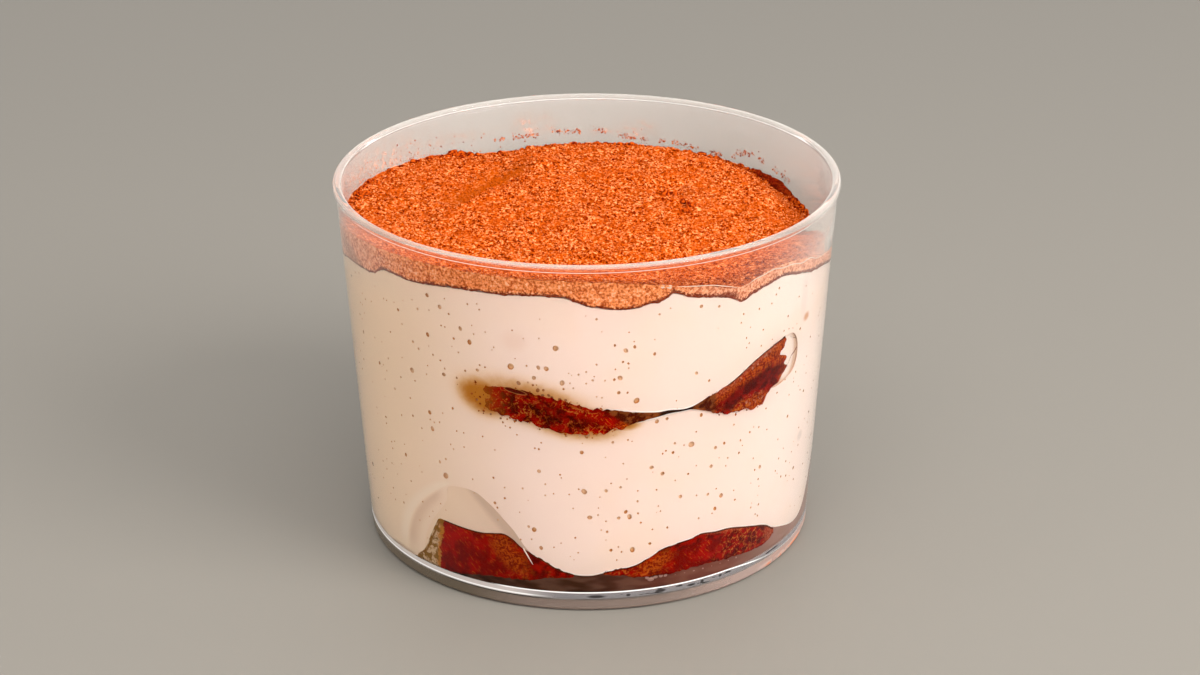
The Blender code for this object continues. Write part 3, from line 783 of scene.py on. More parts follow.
def scattered(count, subdivisions):
    """A mesh of many equal small balls, and the lists of the points of each."""
    shape = bmesh.new()
    bmesh.ops.create_icosphere(shape, subdivisions=subdivisions, radius=1)
    points_each = len(shape.verts)
    while len(shape.verts) < count * points_each:
        bmesh.ops.duplicate(shape, geom=list(shape.verts) + list(shape.edges) + list(shape.faces))
    surplus = list(shape.verts)[count * points_each :]
    bmesh.ops.delete(shape, geom=surplus, context="VERTS")
    points = list(shape.verts)
    balls = [points[number * points_each : (number + 1) * points_each] for number in range(count)]
    return shape, balls


def set_on_wall(ball, azimuth, height, proud, size, squash, rough=0, wide=1):
    """Sets a small ball against the wall, squashed on it, and rough or widened along it."""
    middle = on_wall(azimuth, height, proud)
    outward = Vector((middle.x, middle.y, 0)).normalized()
    across = outward.cross(Vector((0, 0, 1)))
    for point in ball:
        reach = point.co * size
        if rough:
            reach = reach * (1 + rough * (draw.random() - 0.5))
        point.co = middle + reach - outward * reach.dot(outward) * squash
        point.co += across * reach.dot(across) * (wide - 1)


draw = random.Random(61)
crumbs_shape, crumbs = scattered(260, 1)
for number, crumb in enumerate(crumbs):
    backward = number % 2 == 1
    s = draw.uniform(-27.5, -6) if draw.random() < 0.7 else draw.uniform(9, 22.5)
    lower = draw.random() < 0.55
    slip = abs(draw.gauss(0, 0.35)) - 0.15
    height = follow(PATCH_FEET, s) - slip if lower else follow(PATCH_TOPS, s) + slip * (s < 0)
    if draw.random() < 0.18:
        s, height = draw.gauss(-27, 1.1), draw.gauss(39.4, 1.3)
    size = 0.07 + 0.2 * draw.random() ** 2.5
    turned = BACK_TURN if backward else UPPER_TURN
    azimuth = turned + degrees(asin(s / PATCH_RADIUS)) * (-1 if backward else 1)
    set_on_wall(crumb, azimuth, height, 0.16, size, 0.5, 0.7)
wet_crumb = Finish("wet_crumb", 0.6, 0).locate()
wet_colour = wet_crumb.blend(wet_crumb.grain(1.3).step(0.42, 0.58), (0.19, 0.025, 0.003), (0.45, 0.13, 0.02))
wet_crumb.set("Base Color", wet_colour)
piece("crumbs", crumbs_shape, [wet_crumb], crease=80)


# The cream: dense ivory mascarpone cream in one bed, piped in warm so that it lies flat on the wall. It
# hangs clear of the floor at the right, folds over the cut finger at the lower left, and is full of
# small air bubbles, which show as pits where they meet the wall.

CREAM_PRESSED = 0.15
CREAM_FINISHES = 4
FOOD_LOWEST = 2.9
COCOA_FOOT = (
    (-180, 53.4), (-150, 53.4), (-125, 55), (-100, 54.8), (-83, 52.6), (-71, 54.3), (-65, 54.8),
    (-57, 55.5), (-52, 57.3), (-43, 57.3), (-29, 58.4), (-19, 58.6), (-9, 59), (-4, 58.6), (0, 57.3),
    (3, 56.8), (6, 56.5), (11, 56.6), (14, 57.3), (17.5, 57.8), (19, 58.8), (21, 58.3), (23, 57.6),
    (28, 56.9), (33, 56), (37, 54.6), (40, 55.4), (44, 55.9), (49, 56.4), (54, 55.7), (61, 54.3),
    (70, 53.1), (83, 50.6), (105, 50), (130, 52.4), (157, 53),
)
COCOA_EDGE = (
    (-180, 55.4), (-156, 54.9), (-136, 57), (-103, 58.3), (-83, 58.8), (-66, 60.4), (-50, 61.3),
    (-30, 61.8), (-9, 61.9), (1, 61.7), (9, 61.2), (19, 60.1), (28, 58.8), (36, 57.3), (44, 58.6),
    (54, 58.3), (65, 55.9), (83, 53.4), (105, 52), (130, 54.5), (157, 55.1),
)
COCOA_FORMS = (
    (4, -8, 17, 0.9), (-17, 14, 7.5, -1.5), (-9, 19, 6, 0.8), (15, 9, 3.5, -0.8), (13, 18, 5, 0.5),
    (7, -11, 5, -0.4), (-24, -14, 10, 0.5), (26, 16, 9, -1.1), (0, 31, 9, -0.9), (-22, 29, 9, -1.5),
    (14.8, 7, 1.7, -0.8), (17.4, -1.2, 2.4, -0.6), (20.5, -4.6, 1.5, -0.4),
)


def cream_underside(x, y):
    """On the floor at the left, over the ladyfingers, and hanging with a rounded corner elsewhere."""
    azimuth = azimuth_of(x, y)
    share = hypot(x, y) / inside(fillet_top)
    at_wall = max(follow(CREAM_FOOT, azimuth, True), FOOD_LOWEST - 0.15)
    corner = 10 * exp(-(((azimuth - 96) / 16) ** 2))
    rounding = 1 - sqrt(1 - eased(share, 0.84, 1) ** 2)
    outer = at_wall - corner * (1 - rounding)
    lip = 0.5 * eased(share, 0.965, 1) * eased(at_wall, 4, 6)
    inner = eased(share, 0.5, 0.78)
    return max(7 + (outer - lip - 7) * inner + lip, FOOD_LOWEST - 0.15)


def cocoa_top(x, y):
    """The top of the cocoa: gentle mounds and hollows, drawn to its edge line at the wall."""
    height = 58.7
    for at_x, at_y, reach, rise in COCOA_FORMS:
        away = hypot(x - at_x, y - at_y) / reach
        height += rise * exp(-away * away)
    past_crest = 0.9 * (x + 15.5) - 0.44 * (y - 7.8) - 1.2 * noise.noise(Vector((x, y, 4)) / 6)
    along_crest = (0.44 * (x + 15.5) + 0.9 * (y - 7.8)) / 18
    width = 3.2 if past_crest < 0 else 12
    height += 1.5 * exp(-((past_crest / width) ** 2) - along_crest**4)
    lumps = noise.fractal(Vector((x, y, 0)) / 5.5, 0.8, 2.1, 3)
    share = hypot(x, y) / inside(58.7)
    edge = follow(COCOA_EDGE, azimuth_of(x, y), True)
    at_wall = eased(share, 0.74, 0.99)
    return height + (edge - height) * at_wall + 0.6 * lumps * (1 - at_wall)


def cocoa_underside(x, y):
    share = hypot(x, y) / inside(58.7)
    at_wall = eased(share, 0.8, 1)
    middle = cocoa_top(x, y) - 2
    return middle + (follow(COCOA_FOOT, azimuth_of(x, y), True) - middle) * at_wall


def bed(under, under_rings, over, over_rings, wall_bands, steps, proud):
    """Food that fills the cup from one surface to another and lies on the wall between them.

    A drum of unit radius and height is spun first. Its radius and height then say where each point
    belongs: on the underside, on the top, or on the wall between their edges.
    """
    section = [(share, 0) for share in under_rings]
    section += [(1, band / wall_bands) for band in range(1, wall_bands)]
    section += [(share, 1) for share in reversed(over_rings)]
    drum = spun(section, steps)
    for point in drum.verts:
        share = hypot(point.co.x, point.co.y)
        turn = Vector((point.co.x, point.co.y, 0)).normalized() if share > 1e-6 else Vector((1, 0, 0))
        level = point.co.z
        rim = inside(36.9) * turn
        low = under(rim.x, rim.y)
        high = over(rim.x, rim.y)
        height = low + (high - low) * level
        place = turn * share * (inside(height) + proud)
        if level < 1e-4:
            place.z = under(place.x, place.y) if share < 0.999 else low
        elif level > 1 - 1e-4:
            place.z = over(place.x, place.y) if share < 0.999 else high
        else:
            place.z = height
        point.co = place
    return faced_out(drum)


def carved(shape, operation, tool):
    """A shape after a Boolean with another. Both are used up. Faces keep their material numbers."""
    objects = []
    for each in (shape, tool):
        mesh = bpy.data.meshes.new("carving")
        each.to_mesh(mesh)
        each.free()
        for slot in range(CREAM_FINISHES):
            mesh.materials.append(None)
        made = bpy.data.objects.new("carving", mesh)
        scene.collection.objects.link(made)
        objects.append(made)
    cut = objects[0].modifiers.new("cut", "BOOLEAN")
    cut.operation = operation
    cut.solver = "MANIFOLD"
    cut.object = objects[1]
    finished = objects[0].evaluated_get(bpy.context.evaluated_depsgraph_get())
    result = bmesh.new()
    result.from_mesh(finished.to_mesh())
    for made in objects:
        bpy.data.objects.remove(made, do_unlink=True)
    return result


def wall_tile(outline, deep, proud, number):
    """A curved tile on the wall inside an outline of (azimuth, height) points, with a material number."""
    middle = sum(azimuth for azimuth, height in outline) / len(outline)
    prism = bmesh.new()
    bmesh.ops.create_circle(prism, segments=len(outline), radius=1, cap_ends=True)
    reach = 41
    for point, (azimuth, height) in zip(prism.verts, outline):
        across = reach * sin(radians(azimuth - middle))
        point.co = (across, -reach - 6, height)
    made = bmesh.ops.extrude_face_region(prism, geom=list(prism.faces))["geom"]
    far = [item for item in made if isinstance(item, bmesh.types.BMVert)]
    bmesh.ops.translate(prism, verts=far, vec=(0, 16, 0))
    turn = Matrix.Rotation(radians(middle), 3, "Z")
    bmesh.ops.rotate(prism, verts=prism.verts, cent=(0, 0, 0), matrix=turn)
    faced_out(prism)
    low = min(height for azimuth, height in outline) - 2
    high = max(height for azimuth, height in outline) + 2
    foot, head = outside(low) - WALL, outside(high) - WALL
    ring = [(foot - deep, low), (foot + proud, low), (head + proud, high), (head - deep, high)]
    tile = carved(spun(ring + ring[:1], 360), "INTERSECT", prism)
    for face in tile.faces:
        face.material_index = number
    return tile


def smooth_outline(corners, steps=6):
    """A closed line through corners, rounded between them."""
    count = len(corners)
    outline = []
    for number in range(count):
        p0, p1, p2, p3 = (Vector(corners[(number + step) % count]) for step in (-1, 0, 1, 2))
        for step in range(steps):
            t = step / steps
            place = 2 * p1 + (p2 - p0) * t + (2 * p0 - 5 * p1 + 4 * p2 - p3) * t * t
            place += (3 * p1 - p0 - 3 * p2 + p3) * t**3
            outline.append(tuple(place / 2))
    return outline


# Larger bubbles, as (azimuth, height, radius) where they were seen.
SEEN_BUBBLES = (
    (-17.3, 45.8, 0.55), (-10.9, 46.1, 0.33), (-25.5, 44.2, 0.33), (-5.6, 43.5, 0.43), (-15.6, 42.9, 0.36),
    (7.1, 41.6, 0.31), (11.2, 39.9, 0.5), (-11.2, 41.9, 0.33), (-10.1, 41, 0.3), (-8.9, 40.1, 0.5),
    (-8, 40.7, 0.26), (-6.2, 40.4, 0.33), (-3.2, 39.1, 0.21), (-0.1, 33.7, 0.43), (-4.9, 33.7, 0.23),
    (-1.8, 33.7, 0.23), (5.8, 32.4, 0.26), (-16.5, 33.2, 0.17), (-22.7, 36.4, 0.2), (-20.3, 35.9, 0.2),
    (-28.7, 43.6, 0.2), (-31.1, 41.9, 0.2), (-1.9, 45.1, 0.17), (-0.2, 45.6, 0.17), (2.1, 46.9, 0.17),
    (9.3, 46, 0.17), (8, 47.2, 0.23), (-13.4, 43.2, 0.18), (-12.3, 42.8, 0.23), (-3.1, 42.6, 0.17),
    (9.1, 41.5, 0.17), (2.1, 41, 0.17), (3.3, 40.8, 0.17), (-6.9, 49.8, 0.5), (-44.7, 40.6, 0.5),
    (-34.7, 41.9, 0.4), (-38.6, 48.5, 0.35), (-27.1, 49.1, 0.4), (24.9, 30.2, 0.6), (16.1, 35.6, 0.35),
    (-9.9, 42, 0.22), (-8.7, 41.1, 0.24), (-4.9, 40.3, 0.26), (-1.7, 38.9, 0.16), (-18.1, 34.4, 0.18),
    (-19.8, 35.2, 0.18), (0.1, 33.5, 0.2), (-36.4, 22.4, 0.55), (-0.9, 23.2, 0.45), (0.4, 18.2, 0.45),
    (9.9, 18, 0.4),
)
draw = random.Random(404)
bubbles = list(SEEN_BUBBLES)
while len(bubbles) < 940:
    azimuth, height = draw.uniform(-180, 180), draw.uniform(8, 57)
    radius = 0.1 + 0.1 * draw.random() + 0.26 * draw.random() ** 6
    low = follow(CREAM_FOOT, azimuth, True) + 1.5
    high = follow(COCOA_FOOT, azimuth, True) - 1.2
    crowded = any(hypot((azimuth - a) * 0.7, height - h) < radius + r + 0.25 for a, h, r in bubbles)
    if low < height < high and not crowded:
        bubbles.append((azimuth, height, radius))
pits, balls = scattered(len(bubbles), 2)
for ball, (azimuth, height, radius) in zip(balls, bubbles):
    middle = on_wall(azimuth, height, CREAM_PRESSED - 0.1 * radius)
    stretch = Vector((1, 1, draw.uniform(0.85, 1.35)))
    tilt = Matrix.Rotation(draw.uniform(-0.8, 0.8), 3, "Y")
    for point in ball:
        point.co = middle + tilt @ (point.co * stretch * radius)
for face in pits.faces:
    face.material_index = 1

cream_rings = [0, 0.25, 0.45] + [0.5 + 0.05 * number for number in range(7)]
cream_rings += [0.83 + 0.02 * number for number in range(7)] + [0.965, 0.98, 0.992, 1]
top_rings = (0, 0.25, 0.5, 0.7, 0.85, 0.95, 1)


def cream_top(x, y):
    return cocoa_underside(x, y) - 0.1


cream_shape = bed(cream_underside, cream_rings, cream_top, top_rings, 72, 360, CREAM_PRESSED)
# The fold's left edge, as (height, azimuth), from which the cream sinks softly away from the wall.
FOLD_LEFT = ((1, -53), (4.5, -52.5), (8.2, -51), (12, -48), (15.7, -44), (18.7, -40), (20.6, -36))
for point in cream_shape.verts:
    x, y, z = point.co
    reach = hypot(x, y)
    if z < 22 and abs(reach - inside(z) - CREAM_PRESSED) < 0.05:
        past = azimuth_of(x, y) - follow(FOLD_LEFT, z)
        sunk = 0.115 * eased(past, 0, 5) * (1 - eased(z, 20.6, 21.4))
        sunk *= 1 - eased(azimuth_of(x, y), -26, -22)
        point.co = Vector((x * (1 - sunk / reach), y * (1 - sunk / reach), z))
cream_shape = carved(cream_shape, "DIFFERENCE", pits)
fold = smooth_outline([
    (-45, 5), (-44.5, 8.2), (-42, 12), (-39, 15), (-36.5, 17.6), (-35.8, 20.3), (-31.9, 21), (-28, 20.7),
    (-25.2, 19.4), (-23.3, 18.3), (-20.9, 16.4), (-18.7, 14.6), (-16.6, 12.2), (-15.2, 10.9), (-13, 9),
    (-14, 4), (-20, 1.5), (-32, 1), (-42, 1), (-45, 2),
])
cream_shape = carved(cream_shape, "DIFFERENCE", wall_tile(fold, -0.03, 1, 2))
pocket = smooth_outline([
    (51, 44.4), (53.5, 44.8), (56, 44.4), (57.8, 43), (58.6, 41), (58.4, 38.9), (57, 37.3), (53.5, 36.2),
    (49, 35.9), (47.5, 36.6), (49.5, 38), (50, 41.5),
])
cream_shape = carved(cream_shape, "DIFFERENCE", wall_tile(pocket, 0.2, 1, 3))

cream = Finish("mascarpone_cream", 0.5, 0.05).locate()
# Painted shade makes the cream darker and yellower towards the left, away from the key light, and painted
# light makes it paler towards the right.
shaded_left, lit_right = cream.x.step(-8, -36), cream.x.step(20.5, 38.5)
cream.colour = cream.blend(shaded_left * 0.8, (0.9, 0.715, 0.63), (0.86, 0.66, 0.46))
cream.paint(lit_right * 0.8, (0.93, 0.8, 0.73))
cream.paint(cream.grain(14, 3).step(0.45, 0.7) * 0.3, (0.9, 0.68, 0.52))
stained = cream.spots(
    (1.1, -24.4, 39.4, 4.2, 2.9, 0.95, -18), (0.8, -12.5, 39.2, 9.8, 3.8, 0.8, -13),
    (0.76, -3.5, 36.4, 8.5, 3.3, 0.6, -10), (0.75, 8.7, 35.5, 2.6, 1.1, 0.7),
    (0.16, 44, 38.8, 7, 4.6, 0.4, 40),
)
stained = stained * (0.72 + cream.grain(1.6, 4, 0.6) * 0.56)
cream.paint(stained.step(0, 0.8) * 0.85, (0.72, 0.41, 0.115))
cream.paint(stained.step(0.22, 0.92) * 0.95, (0.45, 0.15, 0.004))
smudges = cream.spots((0.14, -16.3, 50.5, 1.8, 1.6, 0.7), (0.8, 61.9, 45.9, 0.9, 0.7, 0.6))
smeared = cream.spot(-82.5, 33, 2.4, 6.5) * cream.grain(1.5).step(0.5, 0.6) * 0.7
cream.paint(smudges | smeared, (0.62, 0.28, 0.12))
cream.paint(cream.spots((0.4, 64.6, 22.4, 1, 0.9), (0.2, 60, 50, 1, 4, 0.6)), (0.58, 0.5, 0.45))
# Along the fold's soft left edge: a painted shade line just inside it and a painted highlight just outside
# it.
fold_curve = cream.sum("POWER", (cream.z - 1) * (1 / 19.6) | 0, 2.6) * 17
past_fold = cream.azimuth + 53 - fold_curve
fold_ends = cream.z.step(3, 8) * cream.z.step(21.8, 20.4)
fold_shade = past_fold.step(-0.4, 1.4) * past_fold.step(5.5, 1.6) * fold_ends * cream.azimuth.step(-36.6, -41)
cream.paint(fold_shade * 0.5, (0.66, 0.43, 0.3))
fold_highlight = past_fold.step(-5, -1.6) * past_fold.step(0.4, -0.8) * fold_ends
cream.paint(fold_highlight * 0.5, (0.93, 0.79, 0.66))
cream.set("Base Color", cream.colour)
cream.bump(cream.grain(0.8, 3) * 0.02)

bubbly = Finish("bubble_cream", 0.6, 0.1).locate()
# Painted shade: the pits are painted brown, darkest round their rims.
depth = past_face(bubbly) * -1
bubbly.colour = bubbly.blend(depth.step(0.1, 0.35), (0.56, 0.22, 0.06), (0.78, 0.48, 0.25))
bubbly.paint(bubbly.grain(2.6).step(0.42, 0.56) * 0.7, (0.8, 0.54, 0.36))
bubbly.paint(bubbly.spot(-14, 38.5, 12, 4, 0.4, -10) * 0.85, (0.16, 0.03, 0.005))
bubbly.set("Base Color", bubbly.colour)

folded = Finish("folded_cream", 0.5, 0.1).locate()
from_line = folded.azimuth + 12.5 + (folded.z - 9) * 1.25
# The folded cream too is painted darker and yellower towards the left: painted shade.
folded.colour = folded.blend(folded.x.step(-8, -36) * 0.8, (0.86, 0.66, 0.54), (0.85, 0.64, 0.43))
# Painted shade: the folded cream darkens towards the crease at its right edge.
folded.paint(from_line.step(-12, -1) * 0.3, (0.66, 0.47, 0.33))
folded.paint(from_line.step(-4.2, -0.8) * 0.7, (0.56, 0.39, 0.29))
folded.set("Base Color", folded.colour)

hollow = Finish("pocket_cream", 0.5, 0.1).locate()
# Painted shade: the air pocket's rim is a darker tan round its pale middle.
pocket_rim_shade = 1 - hollow.spot(54, 40.6, 2.3, 4.2, 0.2)
hollow.set("Base Color", hollow.blend(pocket_rim_shade, (0.92, 0.76, 0.67), (0.72, 0.46, 0.32)))

finishes = [cream, bubbly, folded, hollow]
piece("cream", cream_shape, finishes, ["cream_lower", "cream_upper"], 32)


# Painted highlights where the cream's edge meets the wall: thin pale threads laid on the wall above the
# crevice between the upper patches, along the foot of the cream and as a glint on the front lower finger,
# and, over the cocoa at the right, a clump of cream and duller threads.

def thread(line, thickness, proud):
    """A thin round thread on the wall along (azimuth, height) points, tapered at both ends."""
    last = len(line) - 1
    azimuths = [(number, azimuth) for number, (azimuth, height) in enumerate(line)]
    heights = [(number, height) for number, (azimuth, height) in enumerate(line)]
    shape = bmesh.new()
    bmesh.ops.create_grid(shape, x_segments=6 * last, y_segments=6, size=0.5)
    for point in shape.verts:
        share, around = point.co.x + 0.5, (point.co.y + 0.5) * tau
        middle = on_wall(follow(azimuths, share * last), follow(heights, share * last), proud)
        outward = Vector((middle.x, middle.y, 0)).normalized()
        radius = thickness * (1 - abs(2 * share - 1) ** 5)
        point.co = middle + radius * (cos(around) * outward + sin(around) * Vector((0, 0, 1)))
    bmesh.ops.remove_doubles(shape, verts=shape.verts, dist=1e-4)
    return faced_out(shape)


def joined(shapes):
    """One shape made of several, which are used up."""
    whole = bmesh.new()
    for shape in shapes:
        mesh = bpy.data.meshes.new("part")
        shape.to_mesh(mesh)
        shape.free()
        whole.from_mesh(mesh)
        bpy.data.meshes.remove(mesh)
    return whole


def patch_line(stations, first, last, lift):
    """Points along the edge of an upper patch, from one place along the finger's side to another."""
    line = []
    for number in range(25):
        s = first + (last - first) * number / 24
        azimuth = UPPER_TURN + degrees(asin(s / PATCH_RADIUS))
        line.append((azimuth, follow(stations, s) + lift))
    return line


foot_line = [(azimuth, follow(CREAM_FOOT, azimuth, True) + 0.22) for azimuth in range(-14, 80, 2)]
wavy_line = [
    (38, 57.2), (40, 57.9), (43, 58.2), (46, 58.5), (49.5, 58), (53, 57.8), (57, 57), (61, 56.9),
    (65, 55.8), (71.5, 54.9),
]
seams = [
    thread(patch_line(PATCH_TOPS, -8.2, 9.6, 0.16), 0.13, 0.3),
    thread(patch_line(PATCH_TOPS, 10.4, 22, 0.12), 0.09, 0.3),
    thread(patch_line(PATCH_FEET, -3, 7.2, -0.12), 0.09, 0.3),
    thread(foot_line, 0.08, 0.18),
    thread([(-16.1, 11.6), (-15.6, 11), (-14.9, 10.1), (-13.6, 8.4)], 0.2, 0.42),
]
# The threads' pale colour is a painted highlight.
highlight_seam = Finish("highlight_seam", 0.5, colour=(0.94, 0.86, 0.8))
piece("seams", joined(seams), [highlight_seam], crease=80)

cream_clump = thread([(15.9, 60.3), (17.2, 59.9), (19.2, 59.9)], 0.42, -0.1)
for point in cream_clump.verts:
    point.co += 0.22 * Vector(noise.noise_vector(point.co / 0.55))
cocoa_seams = [
    cream_clump,
    thread(wavy_line, 0.12, 0.24),
    thread([(19.5, 59.9), (24, 59.4), (28, 59), (32, 58.2), (35.5, 57.3)], 0.09, 0.24),
]
dull_seam = Finish("dull_seam", 0.5, colour=(0.74, 0.56, 0.43))
piece("cocoa_seams", joined(cocoa_seams), [dull_seam], crease=80)

draw = random.Random(31)
WHEY_DROPS = [(14.6, 5.6, 0.34), (15.6, 5.2, 0.42), (16.8, 5.5, 0.3), (18.2, 5.6, 0.36), (19.4, 5.5, 0.26)]
WHEY_DROPS += [(22 + 2.6 * number, 5.3 - 0.02 * number, 0.12 + 0.1 * draw.random()) for number in range(8)]
drops_shape, drops = scattered(len(WHEY_DROPS), 2)
for drop, (azimuth, height, size) in zip(drops, WHEY_DROPS):
    set_on_wall(drop, azimuth, height, -0.05, size, 0.5, wide=draw.uniform(1, 1.7))
whey = Finish("whey", 0.2, 0.3, (0.46, 0.25, 0.2))
piece("whey_drops", drops_shape, [whey], crease=80)


# The cocoa: loose powder sifted on top in a layer two millimetres deep, with soft mounds. Its side is
# pressed flat on the wall, where its foot is damp and dark. Clumps of powder lie loose on its top.

def grit(x, y):
    """The powder's own roughness."""
    place = Vector((x, y, 0))
    return (
        0.2 * noise.noise(place / 0.62)
        + 0.17 * noise.noise(place / 0.95 + Vector((7, 0, 0)))
        + 0.2 * noise.noise(place / 2.2 + Vector((0, 5, 0)))
    )


block = bmesh.new()
bmesh.ops.create_grid(block, x_segments=268, y_segments=268, size=42.6)
border = [edge for edge in block.edges if edge.is_boundary]
for point in block.verts:
    x, y, z = point.co
    if hypot(x, y) < 43.5:
        point.co.z = cocoa_top(x, y) + grit(x, y)
    else:
        point.co.z = 55
sides = bmesh.ops.extrude_edge_only(block, edges=border)["geom"]
for point in (item for item in sides if isinstance(item, bmesh.types.BMVert)):
    point.co.z = 40
bmesh.ops.holes_fill(block, edges=[edge for edge in block.edges if edge.is_boundary])
faced_out(block)


def ragged_underside(x, y):
    """The cocoa's underside, uneven where grains have slipped between the cream and the wall."""
    place = Vector((x, y, 0))
    ragged = 0.35 * noise.noise(place / 1.6) + 0.3 * noise.noise(place / 0.6)
    return cocoa_underside(x, y) + ragged


COCOA_PRESSED = 0.22
drum_rings = (0, 0.3, 0.6, 0.8, 0.9, 0.96, 0.985, 1)
cocoa_drum = bed(ragged_underside, drum_rings, lambda x, y: 62.5, (0, 1), 16, 720, COCOA_PRESSED)
cocoa_shape = carved(block, "INTERSECT", cocoa_drum)
over_foot = cocoa_shape.verts.layers.float.new("over_foot")
for point in cocoa_shape.verts:
    x, y, z = point.co
    point[over_foot] = z - follow(COCOA_FOOT, azimuth_of(x, y), True)

powder = Finish("cocoa_powder", 0.9, 0).locate()
specks = powder.grain(0.42, 2, 0.6) * 0.65 + powder.grain(0.95, 2, 0.6) * 0.35
patches = powder.grain(4.5, 3)
powder.colour = powder.blend(specks.step(0.38, 0.5), (0.11, 0.003, 0.0003), (0.36, 0.053, 0.002))
powder.paint(specks.step(0.51, 0.62), (0.7, 0.225, 0.085))
powder.paint(patches.step(0.48, 0.64) * 0.4, (0.37, 0.05, 0.002))
# On the slope behind the crest, turned from the light, the powder lies smoother, and painted shade darkens
# it.
past = powder.x * 0.9 - powder.y * 0.44 + 17.4 + (patches - 0.5) * 5
along = powder.x * 0.44 + powder.y * 0.9 - 0.2
shaded_slope = past.step(0.6, -0.6) * past.step(-10, -3.5) * abs(along).step(15, 7)
powder.paint(shaded_slope * 0.85, (0.32, 0.048, 0.001))
side_colour = powder.blend(specks.step(0.4, 0.54), (0.48, 0.08, 0.009), (0.9, 0.29, 0.088))
side_colour = powder.blend(specks.step(0.56, 0.62) * 0.7, side_colour, (0.94, 0.56, 0.35))
turned_aside = powder.x.step(10.2, 23.6) * 0.62 | powder.x.step(-27, -39.6) * 0.5
pale_side = powder.blend(specks.step(0.4, 0.58), (0.58, 0.2, 0.1), (0.9, 0.5, 0.35))
side_colour = powder.blend(turned_aside, side_colour, pale_side)
damp = (powder.measured("over_foot") + (specks - 0.5) * 2).step(0.75, 0.35)
damp = damp | powder.spots((0.9, 33.6, 56.2, 1.6, 0.6, 0.6, -24, 2), uneven=specks)
side_colour = powder.blend(damp * 0.9, side_colour, (0.15, 0.012, 0.001))
greyed_foot = powder.spots((0.55, -68, 55.2, 7, 2.2, 0.6, -20, 1.5), uneven=specks)
side_colour = powder.blend(greyed_foot, side_colour, (0.3, 0.13, 0.07))
powder.paint(past_face(powder).step(0.05, 0.15), side_colour)
powder.set("Base Color", powder.colour)
powder.bump(specks * 0.25)

piece("cocoa_layer", cocoa_shape, [powder], ["cocoa"], 80)

# Clumps that rolled against the wall at the back, where the layer's edge has broken off, and a few on top;
# their dark colour is painted shade.
clump_places = [
    (31.5, 26, 0.8), (32.8, 24.6, 1), (33.8, 23.4, 1.1), (34.8, 22.2, 1.2), (35.8, 20.8, 1.1),
    (36.8, 19.3, 0.9), (38.4, 15.8, 0.6), (39.3, 13.8, 0.6), (21.5, 35, 0.9), (23.5, 33.6, 0.7),
    (9, 40, 0.7), (-24.6, 33, 1.1), (-23.2, 34, 0.8), (14.3, 5.1, 0.8), (13.4, 6, 0.6), (15.1, 5.8, 0.6),
    (17, -0.1, 0.7), (17.5, -1.7, 0.6), (17.6, -4.3, 0.7), (16.3, 1, 0.5),
]
draw = random.Random(12)
for number in range(150):
    azimuth = radians(draw.uniform(92, 268))
    reach = 41.5 - 2.2 * draw.random() ** 2
    clump_places.append((reach * sin(azimuth), -reach * cos(azimuth), 0.25 + 0.4 * draw.random() ** 2))
clump_shape, clumps = scattered(len(clump_places) * 3, 2)
for number, clump in enumerate(clumps):
    x, y, size = clump_places[number // 3]
    x, y, size = x + draw.gauss(0, 0.6), y + draw.gauss(0, 0.5), size * draw.uniform(0.5, 1)
    reach = hypot(x, y) / (inside(55) - size)
    x, y = x / max(reach, 1), y / max(reach, 1)
    middle = Vector((x, y, cocoa_top(x, y) + 0.25 * size))
    for point in clump:
        lumpy = 1 + 0.45 * noise.noise(point.co * 1.7 + Vector((number, 0, 0)))
        point.co = middle + point.co * size * lumpy
dark = Finish("shaded_cocoa", 0.9, 0).locate()
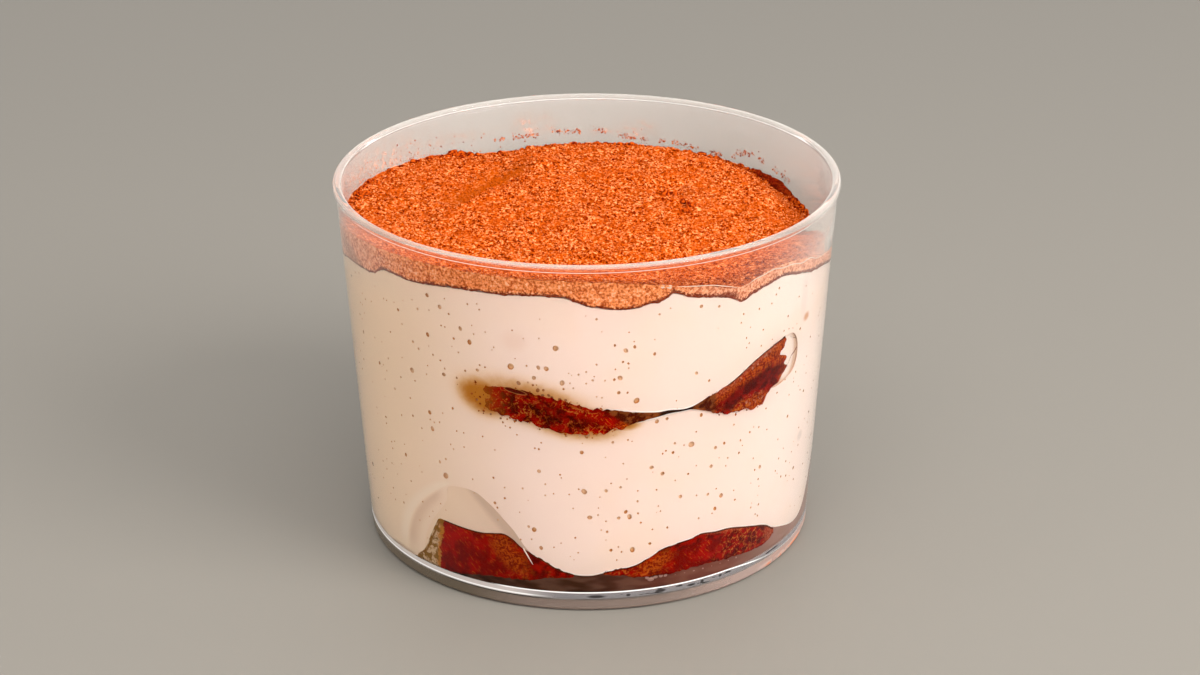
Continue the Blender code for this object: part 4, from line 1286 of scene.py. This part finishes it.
# Painted shade: the clumps are mostly near-black red, less so in a spot at the back right.
painted_shade_share = dark.grain(0.5).step(0.4, 0.6) * (1 - dark.spot(123, 55, 6.5, 4, 0.4) * 0.8)
dark.set("Base Color", dark.blend(painted_shade_share, (0.1, 0.004, 0.001), (0.42, 0.06, 0.004)))
piece("cocoa_clumps", clump_shape, [dark], crease=80)

draw = random.Random(77)
grain_shape, grains = scattered(8600, 1)
for grain in grains:
    reach, turn = 40.9 * sqrt(draw.random()), draw.uniform(0, tau)
    x, y = reach * cos(turn), reach * sin(turn)
    size = 0.13 + 0.15 * draw.random() + 0.28 * draw.random() ** 14
    middle = Vector((x, y, cocoa_top(x, y) + grit(x, y) + 0.25 * size))
    stretch = Vector((draw.uniform(0.8, 1.7), draw.uniform(0.7, 1), draw.uniform(0.6, 0.9)))
    turned = Matrix.Rotation(draw.uniform(0, tau), 3, "Z") @ Matrix.Rotation(draw.gauss(0, 0.4), 3, "X")
    for point in grain:
        rough = 1 + 0.3 * (draw.random() - 0.5)
        point.co = middle + turned @ (point.co * stretch * size * rough)
piece("cocoa_grains", grain_shape, [powder], crease=70)


# Powder on the wall: flakes that stuck to the bare inside above the layer when it was sifted, in a
# thin line at the back and a looser cloud at the left.

HIGHEST_DUST = 62.5
DUST_LINE = (
    (96, 54), (105, 54.2), (118, 55.2), (126, 56.2), (133, 57.4), (138, 57.1), (141, 55.8), (152, 56.1),
    (158, 56.5), (169, 56.6), (177, 57.8), (187, 57.7), (200, 57.3), (212, 57.6), (222, 58.4), (238, 59),
)
draw = random.Random(5)
flakes_shape, flakes = scattered(1200, 1)
for flake in flakes:
    if draw.random() < 0.6:
        azimuth = draw.uniform(118, 205)
        while noise.noise(Vector((azimuth / 3.5, 0, 0))) < -0.05:
            azimuth = draw.uniform(118, 205)
        height = follow(DUST_LINE, azimuth) + draw.gauss(0, 0.2 + 0.4 * draw.random() ** 4)
        size = 0.06 + 0.15 * draw.random() ** 3
    else:
        azimuth = draw.gauss(246, 20)
        edge = follow(COCOA_EDGE, azimuth, True)
        height = edge + 0.4 + 3.4 * draw.random() ** 2.2
        size = 0.06 + 0.12 * draw.random() ** 3
    set_on_wall(flake, azimuth, min(height, HIGHEST_DUST), 0.02, size, 0.6, 0.5)
piece("wall_dust", flakes_shape, [powder], crease=70)

low, high = cad_bounds
